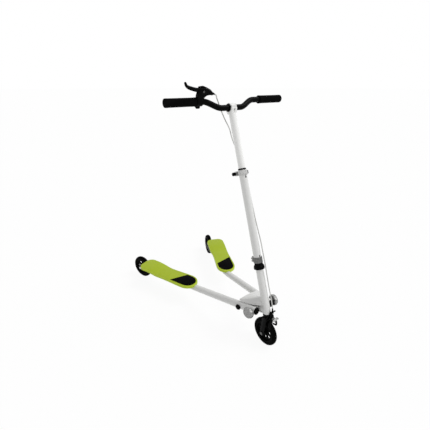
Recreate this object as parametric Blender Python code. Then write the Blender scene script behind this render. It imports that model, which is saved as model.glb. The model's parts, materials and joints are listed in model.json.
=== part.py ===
"""Three-wheel kick scooter with two foot decks on swinging arms.

A raked head tube carries the fork and a telescoping stem at the front. Two arms swing out from the
neck behind it, each with a foot deck and a wheel in line with the arm. A hand lever on the rider's
right works a side-pull caliper on the front wheel. The front faces -Y, the rider's left is +X, and
the ground is z = 0. The neck and the arms are laid out from the level of the axles.
"""

import math

import bmesh
import bpy
from mathutils import Matrix, Vector

# Fits
GAP = 0.0003                    # between pieces that touch or are pressed together
RUN = 0.0005                    # between pieces that turn or slide on each other

# Wheels
WHEEL_RADIUS = 0.0625
FRONT_TYRE_WIDTH = 0.027
REAR_TYRE_WIDTH = 0.024
TYRE_SEAT_RADIUS = 0.0455       # outside of the wheel core
TREAD_SHARE = 0.24              # part of the tyre's width that is flat
WHEEL_SIDES = 20
FRONT_WINDOWS = 8
REAR_WINDOWS = 6
WINDOW_CIRCLE = 0.028
WINDOW_RADIUS = 0.0070
FRONT_WINDOW_TURN = math.radians(33)
BEARING_RADIUS = 0.011
AXLE_RADIUS = 0.004
AXLE_HEAD = 0.0036              # thickness of the axle's head
SPACER_RADIUS = 0.0062

# Steering axis; heights along it are counted from the level of the axle
RAKE = math.radians(18.9)       # the axis leans back at the top
AXIS_AHEAD = 0.0363             # how far the axis passes in front of the front axle
STEERER_RADIUS = 0.0127
STEERER_WALL = 0.0022
CROWN_ROOM = 0.00574            # between the tyre and the crown
CROWN_HEIGHT = 0.015
CROWN_DEPTH = 0.030
CROWN_HALF_WIDTH = 0.0228
LEG_THICKNESS = 0.0045
HEAD_RADIUS = 0.0162
HEAD_WALL = 0.0015
HEAD_ABOVE_CROWN = 0.010
HEAD_LENGTH = 0.198
CUP_RADIUS = 0.0192
CUP_WALL = 0.0018
CUP_FLANGE = 0.003
CUP_DEPTH = 0.009               # of the part that is pressed into the head tube
CUP_HEIGHT = 0.008
COVER_RADIUS = 0.0232
COVER_HEIGHT = 0.028            # from the head tube to the stem tube
COVER_LOBES = 8

# Stem
STEM_RADIUS = 0.016
STEM_WALL = 0.0012
STEM_LENGTH = 0.385
STEM_SLEEVE = 0.045             # part of the stem tube that fits the steerer
SLIT_WIDTH = 0.0035
SLIT_END_RADIUS = 0.0034
SLIT_LENGTH = 0.030
CLAMP_WALL = 0.0030
CLAMP_HEIGHT = 0.024
CLAMP_EAR_HALF = 0.008
CLAMP_BOLT_RADIUS = 0.0027
CLAMP_BOLT_ROOM = 0.0008        # between the clamp's band and its bolts
UPPER_RADIUS = 0.0137
UPPER_WALL = 0.0018
UPPER_INSIDE = 0.156            # length of the upper tube inside the lower one
BUSH_LENGTH = 0.040

# Clamp at the top of the stem tube
HEIGHT_CLAMP_HEIGHT = 0.0190
HEIGHT_CLAMP_WALL = 0.0035
HEIGHT_CLAMP_DROP = 0.0025      # from the end of the tube down to the clamp
EAR_HALF = 0.0105
ROD_STANDOFF = 0.0105           # from the clamp's band back to its rod
ROD_RADIUS = 0.003
CAM_RADIUS = 0.0079
NUT_LENGTH = 0.0130
NUT_NECK = 0.0037
LEVER_HEIGHT = 0.0144           # of the cam lever

# Handlebar
BAR_ABOVE_STEM = 0.241          # bar centre, along the steering axis
BAR_RADIUS = 0.0111
BAR_WALL = 0.0018
BAR_HALF_WIDTH = 0.272
BAR_RISE = 0.0283
BAR_SWEEP = 0.0075
BEND_START = 0.045
BEND_END = 0.120
GRIP_LENGTH = 0.120
GRIP_RADIUS = 0.0156
SADDLE_HALF_WIDTH = 0.0125
SADDLE_HALF_DEPTH = 0.0205
SADDLE_BOLT_Y = 0.0173
SADDLE_BOLT_RADIUS = 0.0020
CAP_WALL = 0.0042
SHIM_WALL = 0.0016

# Brake lever, on the rider's right
LEVER_PLACE = 0.1375            # from the middle of the bar out to the clamp of the lever
LEVER_TILT = math.radians(51.4)
BRACKET_WIDTH = 0.023
BRACKET_WALL = 0.0042
BRACKET_THICKNESS = 0.016
LEVER_PIVOT = (0.0020, 0.0470)  # inwards along the bar, and out from it
LEVER_THICKNESS = 0.009
LEVER_BOLT_RADIUS = 0.0022
ADJUSTER_PLACE = (0.0480, 0, 0.0336)
ADJUSTER_TURN = math.radians(110)
ADJUSTER_LENGTH = 0.0110

# Caliper
CALIPER_ARM_THICKNESS = 0.004
CALIPER_BACK = 0.0055           # from the crown to the rear arm
PAD_GAP = 0.0015
PAD_THICKNESS = 0.0025
PAD_DROP = 0.0355               # pads below the caliper's bolt
CALIPER_BOLT_RADIUS = 0.003
BOSS_PLACE = (0.0092, 0.0250)   # cable boss, across and up from the caliper's bolt
BOSS_TILT = math.radians(8)
BOSS_RADIUS = 0.0048
ANCHOR_PLACE = (0.0262, -0.0095)
ANCHOR_TIP = 0.0165             # from the middle of the boss to where the casing sits
CABLE_RADIUS = 0.0024

# Neck; its plates are laid out from the rear edge of the roof
NECK_LENGTH = 0.11929           # from the lower end of the head tube's axis to the rear edge
NECK_REAR_DROP = 0.01884        # lower plate's rear edge below the lower end of the head tube
NECK_SLOPE = math.radians(13.05)
NECK_PLATE = 0.004
ROOF_SKIN = 0.0032
ROOF_SKIRT = 0.007              # depth of the roof's turned-down edge
ROOF_RISE = 0.207               # slope of the roof's ridge over the plates' plane
ROOF_CROWN = 0.0035             # ridge above the crease
CREASE_START = 0.0572           # half-width of the flat top at the rear, and how it narrows
CREASE_TAPER = 0.506
WALL_THICKNESS = 0.0025
PIVOT_X = 0.0165
PIVOT_INSET = 0.049             # pivot in front of the rear edge
KNUCKLE_RADIUS = 0.0105
KNUCKLE_ROOM = 0.0010
BOSS_RADIUS_NECK = 0.0098
PIVOT_BOLT_RADIUS = 0.004

# Arms
ARM_SPLAY = math.radians(9.37)
ARM_SLOPE = math.radians(12.88)
ARM_RADIUS = 0.016
ARM_WALL = 0.0018
ARM_ROOM = 0.0021               # between the tube and the roof of the neck
ARM_FRONT = -0.0416             # front end of the tube, behind the pivot when positive
ARM_STRAIGHT = 0.393            # sloping run of the tube
ARM_BEND_LENGTH = 0.100
ARM_BEND_OUT = math.radians(10.17)
SPINE_LENGTH = 0.2345           # level run of the tube under the deck
TYRE_ROOM = 0.013               # from the end of the tube to the tyre
CHEEK_STANDOFF = 0.0022         # from the knuckle's barrel to its cheek
CHEEK_THICKNESS = 0.004
CHEEK_LESS = 0.0035             # cheek's half-height less than the tube's radius
CHEEK_ROOM = 0.0013             # from the cheek down to the lower plate
CHEEK_FRONT = -0.034
CHEEK_BACK = 0.054
KNOB_PLACE = -0.0225            # along the arm, from the pivot
ARM_BOLT_PLACE = 0.043
KNOB_RADIUS = 0.0245
KNOB_THICKNESS = 0.021
KNOB_LOBES = 10

# Decks; the middle is given from the end of the tube's bend
DECK_ALONG = 0.09053
DECK_OUT = 0.01687
DECK_TURN = math.radians(3.12)
DECK_COVER = 0.0171             # from the tube up to the deck's top
DECK_HEIGHT = 0.013
DECK_HEEL_RISE = 0.008
HEEL_START = 0.030              # where the heel begins and ends to rise, from the deck's middle
HEEL_END = 0.110
DECK_FRONT = 0.185
DECK_REAR = 0.172
DECK_NOSE = 0.058               # depth of the rounded nose
NOSE_HALF = 0.0505
WAIST_HALVES = (0.0455, 0.0475)   # half-widths on the inner and on the outer side
HEEL_HALVES = (0.052, 0.050)
DECK_HEEL_RADIUS = 0.033
DECK_EDGE = 0.002
DECK_PLATE = 0.0035
DECK_WALL = 0.003
DECK_RIBS = (-0.110, -0.040, 0.030, 0.100)
SADDLES = (0.020, 0.165)        # blocks under the deck that seat on the tube
INLAY_THICKNESS = 0.0013
INLAY_INSET = 0.008
INLAY_INNER = 0.100             # rear corners of the inlay, in front of the deck's middle
INLAY_OUTER = 0.048
INLAY_SINK = 0.00015

# Wheel brackets
BRACKET_ROOM = 0.0045           # between the tyre and the bracket's plates
BRACKET_PLATE = 0.0035
BRACKET_EYE = 0.0124
WHEEL_ROOM = 0.003              # between the tyre and the deck

# Heights and places that follow
CROWN_BOTTOM = WHEEL_RADIUS + AXIS_AHEAD * math.sin(RAKE) + CROWN_ROOM
CROWN_TOP = CROWN_BOTTOM + CROWN_HEIGHT
HEAD_BOTTOM = CROWN_TOP + HEAD_ABOVE_CROWN
HEAD_TOP = HEAD_BOTTOM + HEAD_LENGTH
STEM_BOTTOM = HEAD_TOP + COVER_HEIGHT
STEM_TOP = STEM_BOTTOM + STEM_LENGTH
BAR_LEVEL = STEM_TOP + BAR_ABOVE_STEM
CALIPER_LEVEL = CROWN_BOTTOM + CROWN_HEIGHT / 2
CLAMP_BOLT_Y = STEM_RADIUS + CLAMP_WALL + CLAMP_BOLT_RADIUS + CLAMP_BOLT_ROOM
ROD_Y = STEM_RADIUS + HEIGHT_CLAMP_WALL + ROD_STANDOFF
CAM_X = EAR_HALF + GAP + CAM_RADIUS
NECK_REAR = HEAD_BOTTOM * math.sin(RAKE) - AXIS_AHEAD + NECK_LENGTH
PIVOT_Y = NECK_REAR - PIVOT_INSET
CHEEK_HALF = ARM_RADIUS - CHEEK_LESS
UPPER_DEPTH = ROOF_SKIRT / math.cos(NECK_SLOPE) + ARM_ROOM + ARM_RADIUS / math.cos(ARM_SLOPE)
NECK_DEPTH = UPPER_DEPTH + CHEEK_HALF + CHEEK_ROOM
NECK_REAR_TOP = HEAD_BOTTOM * math.cos(RAKE) - NECK_REAR_DROP + NECK_DEPTH
ARM_OFFSET = KNUCKLE_RADIUS + CHEEK_STANDOFF + CHEEK_THICKNESS + GAP + ARM_RADIUS
AXLE_BEHIND_BEND = SPINE_LENGTH + TYRE_ROOM + WHEEL_RADIUS
BRACKET_INSIDE = REAR_TYRE_WIDTH / 2 + BRACKET_ROOM

WHITE = (0.80, 0.80, 0.78)
BLACK = (0.012, 0.012, 0.013)
RUBBER = (0.018, 0.018, 0.018)
LIME = (0.36, 0.52, 0.03)
SILVER = (0.55, 0.55, 0.54)
STEEL = (0.42, 0.42, 0.41)


def clear_scene():
    """Remove whatever the file opens with."""
    for thing in list(bpy.data.objects):
        bpy.data.objects.remove(thing, do_unlink=True)


def make_material(name, colour, roughness, metallic=0.0):
    """A plain Principled material."""
    made = bpy.data.materials.new(name)
    made.use_nodes = True
    shader = made.node_tree.nodes["Principled BSDF"]
    shader.inputs["Base Color"].default_value = (*colour, 1.0)
    shader.inputs["Roughness"].default_value = roughness
    shader.inputs["Metallic"].default_value = metallic
    return made


def add_empty(name, parent=None, place=(0, 0, 0), turn=(0, 0, 0)):
    """A frame that pieces hang on."""
    frame = bpy.data.objects.new(name, None)
    frame.empty_display_size = 0.03
    frame.location = place
    frame.rotation_euler = turn
    frame.parent = parent
    bpy.context.scene.collection.objects.link(frame)
    return frame


def add_piece(name, shape, look, parent, place=(0, 0, 0), turn=(0, 0, 0), smooth=32):
    """Turn a bmesh into a named object with its own material."""
    bmesh.ops.recalc_face_normals(shape, faces=shape.faces)
    mesh = bpy.data.meshes.new(name)
    shape.to_mesh(mesh)
    shape.free()
    mesh.shade_smooth()
    mesh.set_sharp_from_angle(angle=math.radians(smooth))
    piece = bpy.data.objects.new(name, mesh)
    piece.location = place
    piece.rotation_euler = turn
    piece.parent = parent
    colour, roughness, metallic = look
    mesh.materials.append(make_material(name, colour, roughness, metallic))
    bpy.context.scene.collection.objects.link(piece)
    return piece


def add_tool(name, shape, parent, place=(0, 0, 0), turn=(0, 0, 0)):
    """A hidden shape that a Boolean reads."""
    tool = add_piece(name, shape, (BLACK, 0.5, 0.0), parent, place, turn)
    tool.hide_render = True
    tool.display_type = "WIRE"
    return tool


def combine(piece, tool, operation):
    """Put a Boolean on a piece."""
    step = piece.modifiers.new(operation.title(), "BOOLEAN")
    step.operation = operation
    step.solver = "EXACT"
    step.object = tool


def cut(piece, name, shape, parent, place=(0, 0, 0), turn=(0, 0, 0)):
    """Cut a shape out of a piece."""
    combine(piece, add_tool(name, shape, parent, place, turn), "DIFFERENCE")


def join(piece, name, shape, parent, place=(0, 0, 0), turn=(0, 0, 0)):
    """Weld a shape to a piece."""
    combine(piece, add_tool(name, shape, parent, place, turn), "UNION")


def merge_shapes(*shapes):
    """Hold several separate closed shapes in one bmesh."""
    whole = bmesh.new()
    for shape in shapes:
        mesh = bpy.data.meshes.new("part")
        shape.to_mesh(mesh)
        shape.free()
        whole.from_mesh(mesh)
        bpy.data.meshes.remove(mesh)
    return whole


def moved(shape, place=(0, 0, 0), turn=None):
    """Move a bmesh, after turning it when a rotation matrix is given."""
    matrix = Matrix.Translation(place)
    if turn is not None:
        matrix = matrix @ turn.to_4x4()
    bmesh.ops.transform(shape, matrix=matrix, verts=shape.verts)
    return shape


TO_X = Matrix.Rotation(math.radians(90), 3, "Y")      # turns a shape's Z axis to X
TO_Y = Matrix.Rotation(math.radians(-90), 3, "X")     # turns a shape's Z axis to Y


def lathe(profile, steps=20, flute=None, flats=False):
    """Turn a closed loop of (radius, height) points about Z; radius 0 makes a tip.

    flute, when given, maps a radius and an angle to the radius used there. With flats the radii are
    those of the flat sides, one of which faces +X.
    """
    phase = 0.5 if flats else 0.0
    swell = 1 / math.cos(math.pi / steps) if flats else 1.0
    shape = bmesh.new()
    rings = []
    for radius, height in profile:
        if radius == 0:
            rings.append([shape.verts.new((0, 0, height))])
            continue
        ring = []
        for step in range(steps):
            angle = 2 * math.pi * (step + phase) / steps
            reach = flute(radius, angle) if flute else radius * swell
            ring.append(shape.verts.new((reach * math.cos(angle), reach * math.sin(angle), height)))
        rings.append(ring)
    for index, ring in enumerate(rings):
        follow = rings[(index + 1) % len(rings)]
        if len(ring) == 1 and len(follow) == 1:
            continue
        for step in range(steps):
            after = (step + 1) % steps
            if len(ring) == 1:
                shape.faces.new((ring[0], follow[step], follow[after]))
            elif len(follow) == 1:
                shape.faces.new((ring[step], ring[after], follow[0]))
            else:
                shape.faces.new((ring[step], ring[after], follow[after], follow[step]))
    return shape


def rod(radius, low, high, steps=14):
    """A plain cylinder along Z."""
    return lathe([(0, low), (radius, low), (radius, high), (0, high)], steps)


def ring(inner, outer, low, high, steps=20):
    """A plain ring along Z."""
    return lathe([(inner, low), (outer, low), (outer, high), (inner, high)], steps)


def prism(outline, low, high):
    """Raise a flat outline from low to high along Z."""
    shape = bmesh.new()
    bottom = [shape.verts.new((x, y, low)) for x, y in outline]
    top = [shape.verts.new((x, y, high)) for x, y in outline]
    shape.faces.new(bottom)
    shape.faces.new(top)
    for index, corner in enumerate(bottom):
        after = (index + 1) % len(bottom)
        shape.faces.new((corner, bottom[after], top[after], top[index]))
    return shape


def side_prism(outline, low, high):
    """Raise an outline of (y, z) points along X."""
    shape = prism(outline, low, high)
    turn = Matrix(((0, 0, 1), (1, 0, 0), (0, 1, 0)))
    return moved(shape, turn=turn)


def front_prism(outline, low, high):
    """Raise an outline of (x, z) points along Y, from low to high."""
    shape = prism(outline, low, high)
    turn = Matrix(((1, 0, 0), (0, 0, 1), (0, 1, 0)))
    return moved(shape, turn=turn)


def block(size, place=(0, 0, 0), edge=0.0, turns=2):
    """A box with eased edges."""
    shape = bmesh.new()
    bmesh.ops.create_cube(shape, size=1.0)
    bmesh.ops.scale(shape, vec=size, verts=shape.verts)
    if edge:
        bmesh.ops.bevel(shape, geom=shape.edges[:], offset=edge, segments=turns, affect="EDGES", profile=0.5)
    return moved(shape, place)


def sweep(path, outer, inner=None, sides=14):
    """Carry a round section along a path; an inner radius leaves it hollow with open ends."""
    shape = bmesh.new()
    points = [Vector(point) for point in path]
    runs = [(points[i + 1] - points[i]).normalized() for i in range(len(points) - 1)]
    headings = [runs[0]] + [(a + b).normalized() for a, b in zip(runs, runs[1:])] + [runs[-1]]
    across = headings[0].orthogonal().normalized()
    sections = []
    for point, heading in zip(points, headings):
        across = (across - heading * across.dot(heading)).normalized()
        up = heading.cross(across)
        loops = []
        for radius in (outer, inner):
            if radius is None:
                continue
            loop = []
            for step in range(sides):
                angle = 2 * math.pi * step / sides
                spot = point + (across * math.cos(angle) + up * math.sin(angle)) * radius
                loop.append(shape.verts.new(spot))
            loops.append(loop)
        sections.append(loops)
    for wall in range(len(sections[0])):
        for here, there in zip(sections, sections[1:]):
            for step in range(sides):
                after = (step + 1) % sides
                shape.faces.new((here[wall][step], here[wall][after], there[wall][after], there[wall][step]))
    for loops in (sections[0], sections[-1]):
        if inner is None:
            shape.faces.new(loops[0])
            continue
        for step in range(sides):
            after = (step + 1) % sides
            shape.faces.new((loops[0][step], loops[0][after], loops[1][after], loops[1][step]))
    return shape


def arc(centre, radius, start, end, steps):
    """Points on an arc, angles in degrees."""
    points = []
    for step in range(steps + 1):
        angle = math.radians(start + (end - start) * step / steps)
        points.append((centre[0] + radius * math.cos(angle), centre[1] + radius * math.sin(angle)))
    return points


def link_outline(first, first_radius, second, second_radius, steps=8):
    """The outline round two circles of unlike size and their common tangents."""
    along = Vector(second) - Vector(first)
    heading = math.degrees(math.atan2(along.y, along.x))
    lean = math.degrees(math.acos((first_radius - second_radius) / along.length))
    outline = arc(first, first_radius, heading + lean, heading + 360 - lean, steps)
    outline += arc(second, second_radius, heading - lean, heading + lean, steps)
    return outline


def smooth_curve(points, steps):
    """Points on a smooth curve through the given ones (Catmull-Rom)."""
    knots = [Vector(point) for point in points]
    knots = [knots[0] * 2 - knots[1]] + knots + [knots[-1] * 2 - knots[-2]]
    curve = []
    for a, b, c, d in zip(knots, knots[1:], knots[2:], knots[3:]):
        for step in range(steps):
            t = step / steps
            curve.append(0.5 * (2 * b + (c - a) * t + (2 * a - 5 * b + 4 * c - d) * t ** 2
                                + (3 * b - a - 3 * c + d) * t ** 3))
    curve.append(knots[-2])
    return curve


def band_outline(points, widths, steps=3, ends=4):
    """The outline of a flat bar that follows a smooth line and has round ends."""
    line = smooth_curve([(x, y, width) for (x, y), width in zip(points, widths)], steps)
    left, right = [], []
    for index, spot in enumerate(line):
        before, after = line[max(index - 1, 0)], line[min(index + 1, len(line) - 1)]
        heading = Vector((after.x - before.x, after.y - before.y)).normalized()
        side = Vector((-heading.y, heading.x)) * spot.z
        left.append((spot.x + side.x, spot.y + side.y))
        right.append((spot.x - side.x, spot.y - side.y))
    outline = left[:]
    for spot, before, flank in ((line[-1], line[-2], right[::-1]), (line[0], line[1], [])):
        heading = math.degrees(math.atan2(spot.y - before.y, spot.x - before.x))
        outline += arc((spot.x, spot.y), spot.z, heading + 90, heading - 90, ends)[1:-1]
        outline += flank
    return outline


def split_clamp_outline(inner, outer, ear_half, ear_end, slit_half, steps=24):
    """A ring that is split at +Y, with an ear on each side of the slit."""
    outer_angle = math.degrees(math.acos(ear_half / outer))
    inner_angle = math.degrees(math.acos(slit_half / inner))
    outline = [(slit_half, ear_end), (ear_half, ear_end)]
    outline += arc((0, 0), outer, outer_angle, -180 - outer_angle, steps)
    outline += [(-ear_half, ear_end), (-slit_half, ear_end)]
    outline += arc((0, 0), inner, -180 - inner_angle, inner_angle, steps)
    return outline


def hexagon(across_flats):
    """Corners of a hexagon."""
    return arc((0, 0), across_flats / math.sqrt(3), 0, 300, 5)


WHEEL_AXLE = Vector((0, AXIS_AHEAD * math.cos(RAKE), AXIS_AHEAD * math.sin(RAKE)))
TYRE_LOOK = (RUBBER, 0.55, 0.0)
CORE_LOOK = (BLACK, 0.4, 0.0)
STEEL_LOOK = (STEEL, 0.35, 1.0)
SILVER_LOOK = (SILVER, 0.3, 1.0)
BLACK_LOOK = (BLACK, 0.35, 0.0)
WHITE_LOOK = (WHITE, 0.3, 0.0)


def tyre_shape(width):
    """A solid tyre with a round crown, turned about Z."""
    half = width / 2
    seat = TYRE_SEAT_RADIUS + GAP
    flank = [(seat, 0.88 * half), (WHEEL_RADIUS - 0.0065, 0.96 * half), (WHEEL_RADIUS - 0.0022, 0.68 * half),
             (WHEEL_RADIUS, TREAD_SHARE * half)]
    return lathe(flank + [(radius, -height) for radius, height in flank[::-1]], WHEEL_SIDES, flats=True)


def core_shape(width):
    """A moulded wheel core with its bearings: hub, web and rim."""
    half = width / 2
    upper = [(AXLE_RADIUS + GAP, half), (BEARING_RADIUS + 0.0035, half), (BEARING_RADIUS + 0.0055, 0.0032),
             (TYRE_SEAT_RADIUS - 0.0060, 0.0026), (TYRE_SEAT_RADIUS, 0.82 * half)]
    return lathe(upper + [(radius, -height) for radius, height in upper[::-1]], WHEEL_SIDES, flats=True)


def web_windows(count, start):
    """Cutters for the round windows in the web."""
    windows = []
    for index in range(count):
        angle = start + 2 * math.pi * index / count
        place = (WINDOW_CIRCLE * math.cos(angle), WINDOW_CIRCLE * math.sin(angle), 0)
        windows.append(moved(rod(WINDOW_RADIUS, -0.015, 0.015, 6), place))
    return merge_shapes(*windows)


def add_wheel(prefix, suffix, width, windows, inside, outside, frame):
    """Tyre, core with its bearings, and axle of one wheel, with the axle along the frame's X."""
    core_width = width - 0.001
    turn = (0, math.radians(90), 0)
    add_piece(prefix + "_tyre" + suffix, tyre_shape(width), TYRE_LOOK, frame, turn=turn)
    core = add_piece(prefix + "_wheel_core" + suffix, core_shape(core_width), CORE_LOOK, frame, turn=turn)
    cut(core, prefix + "_web_cutter" + suffix, web_windows(*windows), frame, turn=turn)

    head = moved(prism(hexagon(0.013), 0, AXLE_HEAD), (0, 0, -outside - GAP - AXLE_HEAD))
    nut = moved(prism(hexagon(0.013), 0, AXLE_HEAD), (0, 0, outside + GAP))
    spacers = []
    for low, high in ((core_width / 2 + GAP, inside - GAP), (-inside + GAP, -core_width / 2 - GAP)):
        spacers.append(rod(SPACER_RADIUS, low, high, 8))
    shank = rod(AXLE_RADIUS, -outside - 0.003, outside + AXLE_HEAD + 0.0015, 8)
    axle = add_piece(prefix + "_axle" + suffix, shank, STEEL_LOOK, frame, turn=turn)
    join(axle, prefix + "_axle_tool" + suffix, merge_shapes(head, nut, *spacers), frame, turn=turn)


def neck_level(depth, y):
    """Height above the axles, at a place y, of a plane that lies a depth below the upper plate's."""
    return NECK_REAR_TOP - depth / math.cos(NECK_SLOPE) + (NECK_REAR - y) * math.tan(NECK_SLOPE)


ROOF_UNDER = neck_level(ROOF_SKIRT, PIVOT_Y)
LOWER_PLATE_DROP = NECK_DEPTH * math.cos(NECK_SLOPE)
PLATE_OVER = neck_level(LOWER_PLATE_DROP, PIVOT_Y)
KNUCKLE_LEAN = KNUCKLE_RADIUS * math.tan(NECK_SLOPE)
KNUCKLE_BOTTOM = PLATE_OVER + KNUCKLE_LEAN + KNUCKLE_ROOM
KNUCKLE_TOP = ROOF_UNDER - KNUCKLE_LEAN - KNUCKLE_ROOM
ARM_AT_PIVOT = ROOF_UNDER - ARM_ROOM - ARM_RADIUS / math.cos(ARM_SLOPE)


def tube_height(y):
    """Height of the middle of an arm's sloping run, behind the pivot by y."""
    return ARM_AT_PIVOT - y * math.tan(ARM_SLOPE)


def roof_shape():
    """The bent upper plate: a flat top with a low ridge, and flanks that turn down to its outline."""
    plan = [(0.0015, 0.0535), (-0.0180, 0.0540), (-0.0450, 0.0475), (-0.0680, 0.0400), (-0.0880, 0.0290),
            (-0.1030, 0.0165)]
    shape = bmesh.new()
    sections = []
    for along, half in plan:
        ridge = ROOF_CROWN - ROOF_RISE * min(along, 0)
        crease = min(half, CREASE_START + CREASE_TAPER * along)
        line = [(half, -ROOF_SKIRT), (crease, ridge - ROOF_CROWN), (0, ridge)]
        line += [(-x, z) for x, z in line[-2::-1]]
        inner = [(half - ROOF_SKIN, -ROOF_SKIRT), (crease - ROOF_SKIN, ridge - ROOF_CROWN - ROOF_SKIN),
                 (0, ridge - ROOF_SKIN)]
        inner += [(-x, z) for x, z in inner[-2::-1]]
        sections.append([shape.verts.new((x, along, z)) for x, z in line + inner[::-1]])
    for here, there in zip(sections, sections[1:]):
        for index, corner in enumerate(here):
            after = (index + 1) % len(here)
            shape.faces.new((corner, here[after], there[after], there[index]))
    last = len(sections[0]) - 1
    for section in (sections[0], sections[-1]):
        for index in range(last // 2):
            shape.faces.new((section[index], section[index + 1], section[last - index - 1],
                             section[last - index]))
    return shape


def add_neck(scooter, head):
    """Head tube with the roof, plate, walls and web that carry the arms."""
    neck = add_piece("neck_frame", rod(HEAD_RADIUS, HEAD_BOTTOM, HEAD_TOP, 18), WHITE_LOOK, head)

    plate_frame = add_empty("neck_plate_frame", scooter, (0, NECK_REAR, NECK_REAR_TOP), (-NECK_SLOPE, 0, 0))
    join(neck, "neck_roof_tool", roof_shape(), plate_frame)

    drop = -LOWER_PLATE_DROP
    half = [(0.022, -0.004), (0.031, -0.013), (0.026, -0.070), (0.019, -0.098), (HEAD_RADIUS - 0.001, -0.112)]
    lower = half + [(-x, y) for x, y in half[::-1]]
    join(neck, "neck_bottom_tool", prism(lower, drop - NECK_PLATE, drop), plate_frame)

    def skin(along):
        return ROOF_CROWN - ROOF_RISE * along - ROOF_SKIN / 2

    web = [(-0.010, drop - 0.001), (-0.026, drop / 2), (-0.010, skin(-0.010)), (-0.100, skin(-0.100)),
           (-0.108, drop - 0.001)]
    join(neck, "neck_web_tool", side_prism(web, -0.0025, 0.0025), plate_frame)

    wall = [(-0.112, drop - NECK_PLATE), (-0.060, drop - NECK_PLATE / 2), (-0.066, skin(-0.066) - 0.0020),
            (-0.088, skin(-0.088) - 0.0070), (-0.108, -0.004)]
    outer = HEAD_RADIUS - GAP
    inner = outer - WALL_THICKNESS
    walls = merge_shapes(side_prism(wall, inner, outer), side_prism(wall, -outer, -inner))
    join(neck, "neck_wall_tool", walls, plate_frame)

    boss_top = ROOF_UNDER + ROOF_SKIRT + skin(-0.050) - 0.0045
    for name, side in (("right", -1), ("left", 1)):
        place = (side * PIVOT_X, PIVOT_Y, 0)
        boss = merge_shapes(rod(BOSS_RADIUS_NECK, KNUCKLE_TOP + GAP, boss_top, 10),
                            rod(BOSS_RADIUS_NECK, PLATE_OVER - 0.003, KNUCKLE_BOTTOM - GAP, 10))
        join(neck, "neck_boss_tool_" + name, boss, scooter, place)
        bore = rod(PIVOT_BOLT_RADIUS + GAP, PLATE_OVER - 0.02, ROOF_UNDER + 0.0012, 10)
        cut(neck, "neck_bore_cutter_" + name, bore, scooter, place)
    bore = rod(HEAD_RADIUS - HEAD_WALL, HEAD_BOTTOM - 0.04, HEAD_TOP + 0.01, 18)
    cut(neck, "head_bore_cutter", bore, head)

    head_top = PLATE_OVER - NECK_PLATE - 0.0022
    for name, side in (("right", -1), ("left", 1)):
        place = (side * PIVOT_X, PIVOT_Y, 0)
        shank = rod(PIVOT_BOLT_RADIUS, head_top - 0.001, ROOF_UNDER + 0.0008, 10)
        bolt = add_piece("arm_pivot_bolt_" + name, shank, STEEL_LOOK, scooter, place)
        join(bolt, "arm_pivot_head_tool_" + name, prism(hexagon(0.013), head_top - 0.005, head_top), scooter,
             place)


def add_headset(head, steer):
    """Cups pressed into the head tube, bearing rings between, and the fluted cover on top."""
    bore = STEERER_RADIUS + RUN
    insert = HEAD_RADIUS - HEAD_WALL - GAP
    flange = HEAD_BOTTOM - GAP
    inside = CUP_RADIUS - CUP_WALL
    skirt = CROWN_TOP + 0.0012
    lower = [(bore, flange + CUP_DEPTH), (insert, flange + CUP_DEPTH), (insert, flange), (CUP_RADIUS, flange),
             (CUP_RADIUS, skirt), (inside, skirt), (inside, flange - CUP_FLANGE), (bore, flange - CUP_FLANGE)]
    add_piece("headset_lower_cup", lathe(lower, 16), BLACK_LOOK, head)

    flange = HEAD_TOP + GAP
    rim = flange + CUP_HEIGHT
    upper = [(bore, flange - CUP_DEPTH), (insert, flange - CUP_DEPTH), (insert, flange), (CUP_RADIUS, flange),
             (CUP_RADIUS, rim), (inside, rim), (inside, flange + CUP_FLANGE), (bore, flange + CUP_FLANGE)]
    add_piece("headset_upper_cup", lathe(upper, 16), BLACK_LOOK, head)

    race = inside - RUN
    low = ring(bore, race, CROWN_TOP + GAP, HEAD_BOTTOM - CUP_FLANGE - 2 * GAP, 14)
    add_piece("headset_bearing_lower", low, STEEL_LOOK, steer)
    high = ring(bore, race, flange + CUP_FLANGE + GAP, rim + GAP, 14)
    add_piece("headset_bearing_upper", high, STEEL_LOOK, steer)

    base = rim + 2 * GAP
    inner = CUP_RADIUS + RUN
    top = STEM_BOTTOM - GAP
    edge = flange + 0.0015
    cover = [(bore, base), (bore, top), (STEM_RADIUS + 0.0008, top), (STEM_RADIUS + 0.0020, base + 0.010),
             (COVER_RADIUS, base + 0.0035), (COVER_RADIUS, edge), (inner, edge), (inner, base)]

    def flute(radius, angle):
        return radius - 0.0008 * (1 + math.cos(COVER_LOBES * angle)) if radius > inner + 0.001 else radius

    add_piece("headset_cover", lathe(cover, 3 * COVER_LOBES, flute), BLACK_LOOK, steer)


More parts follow.
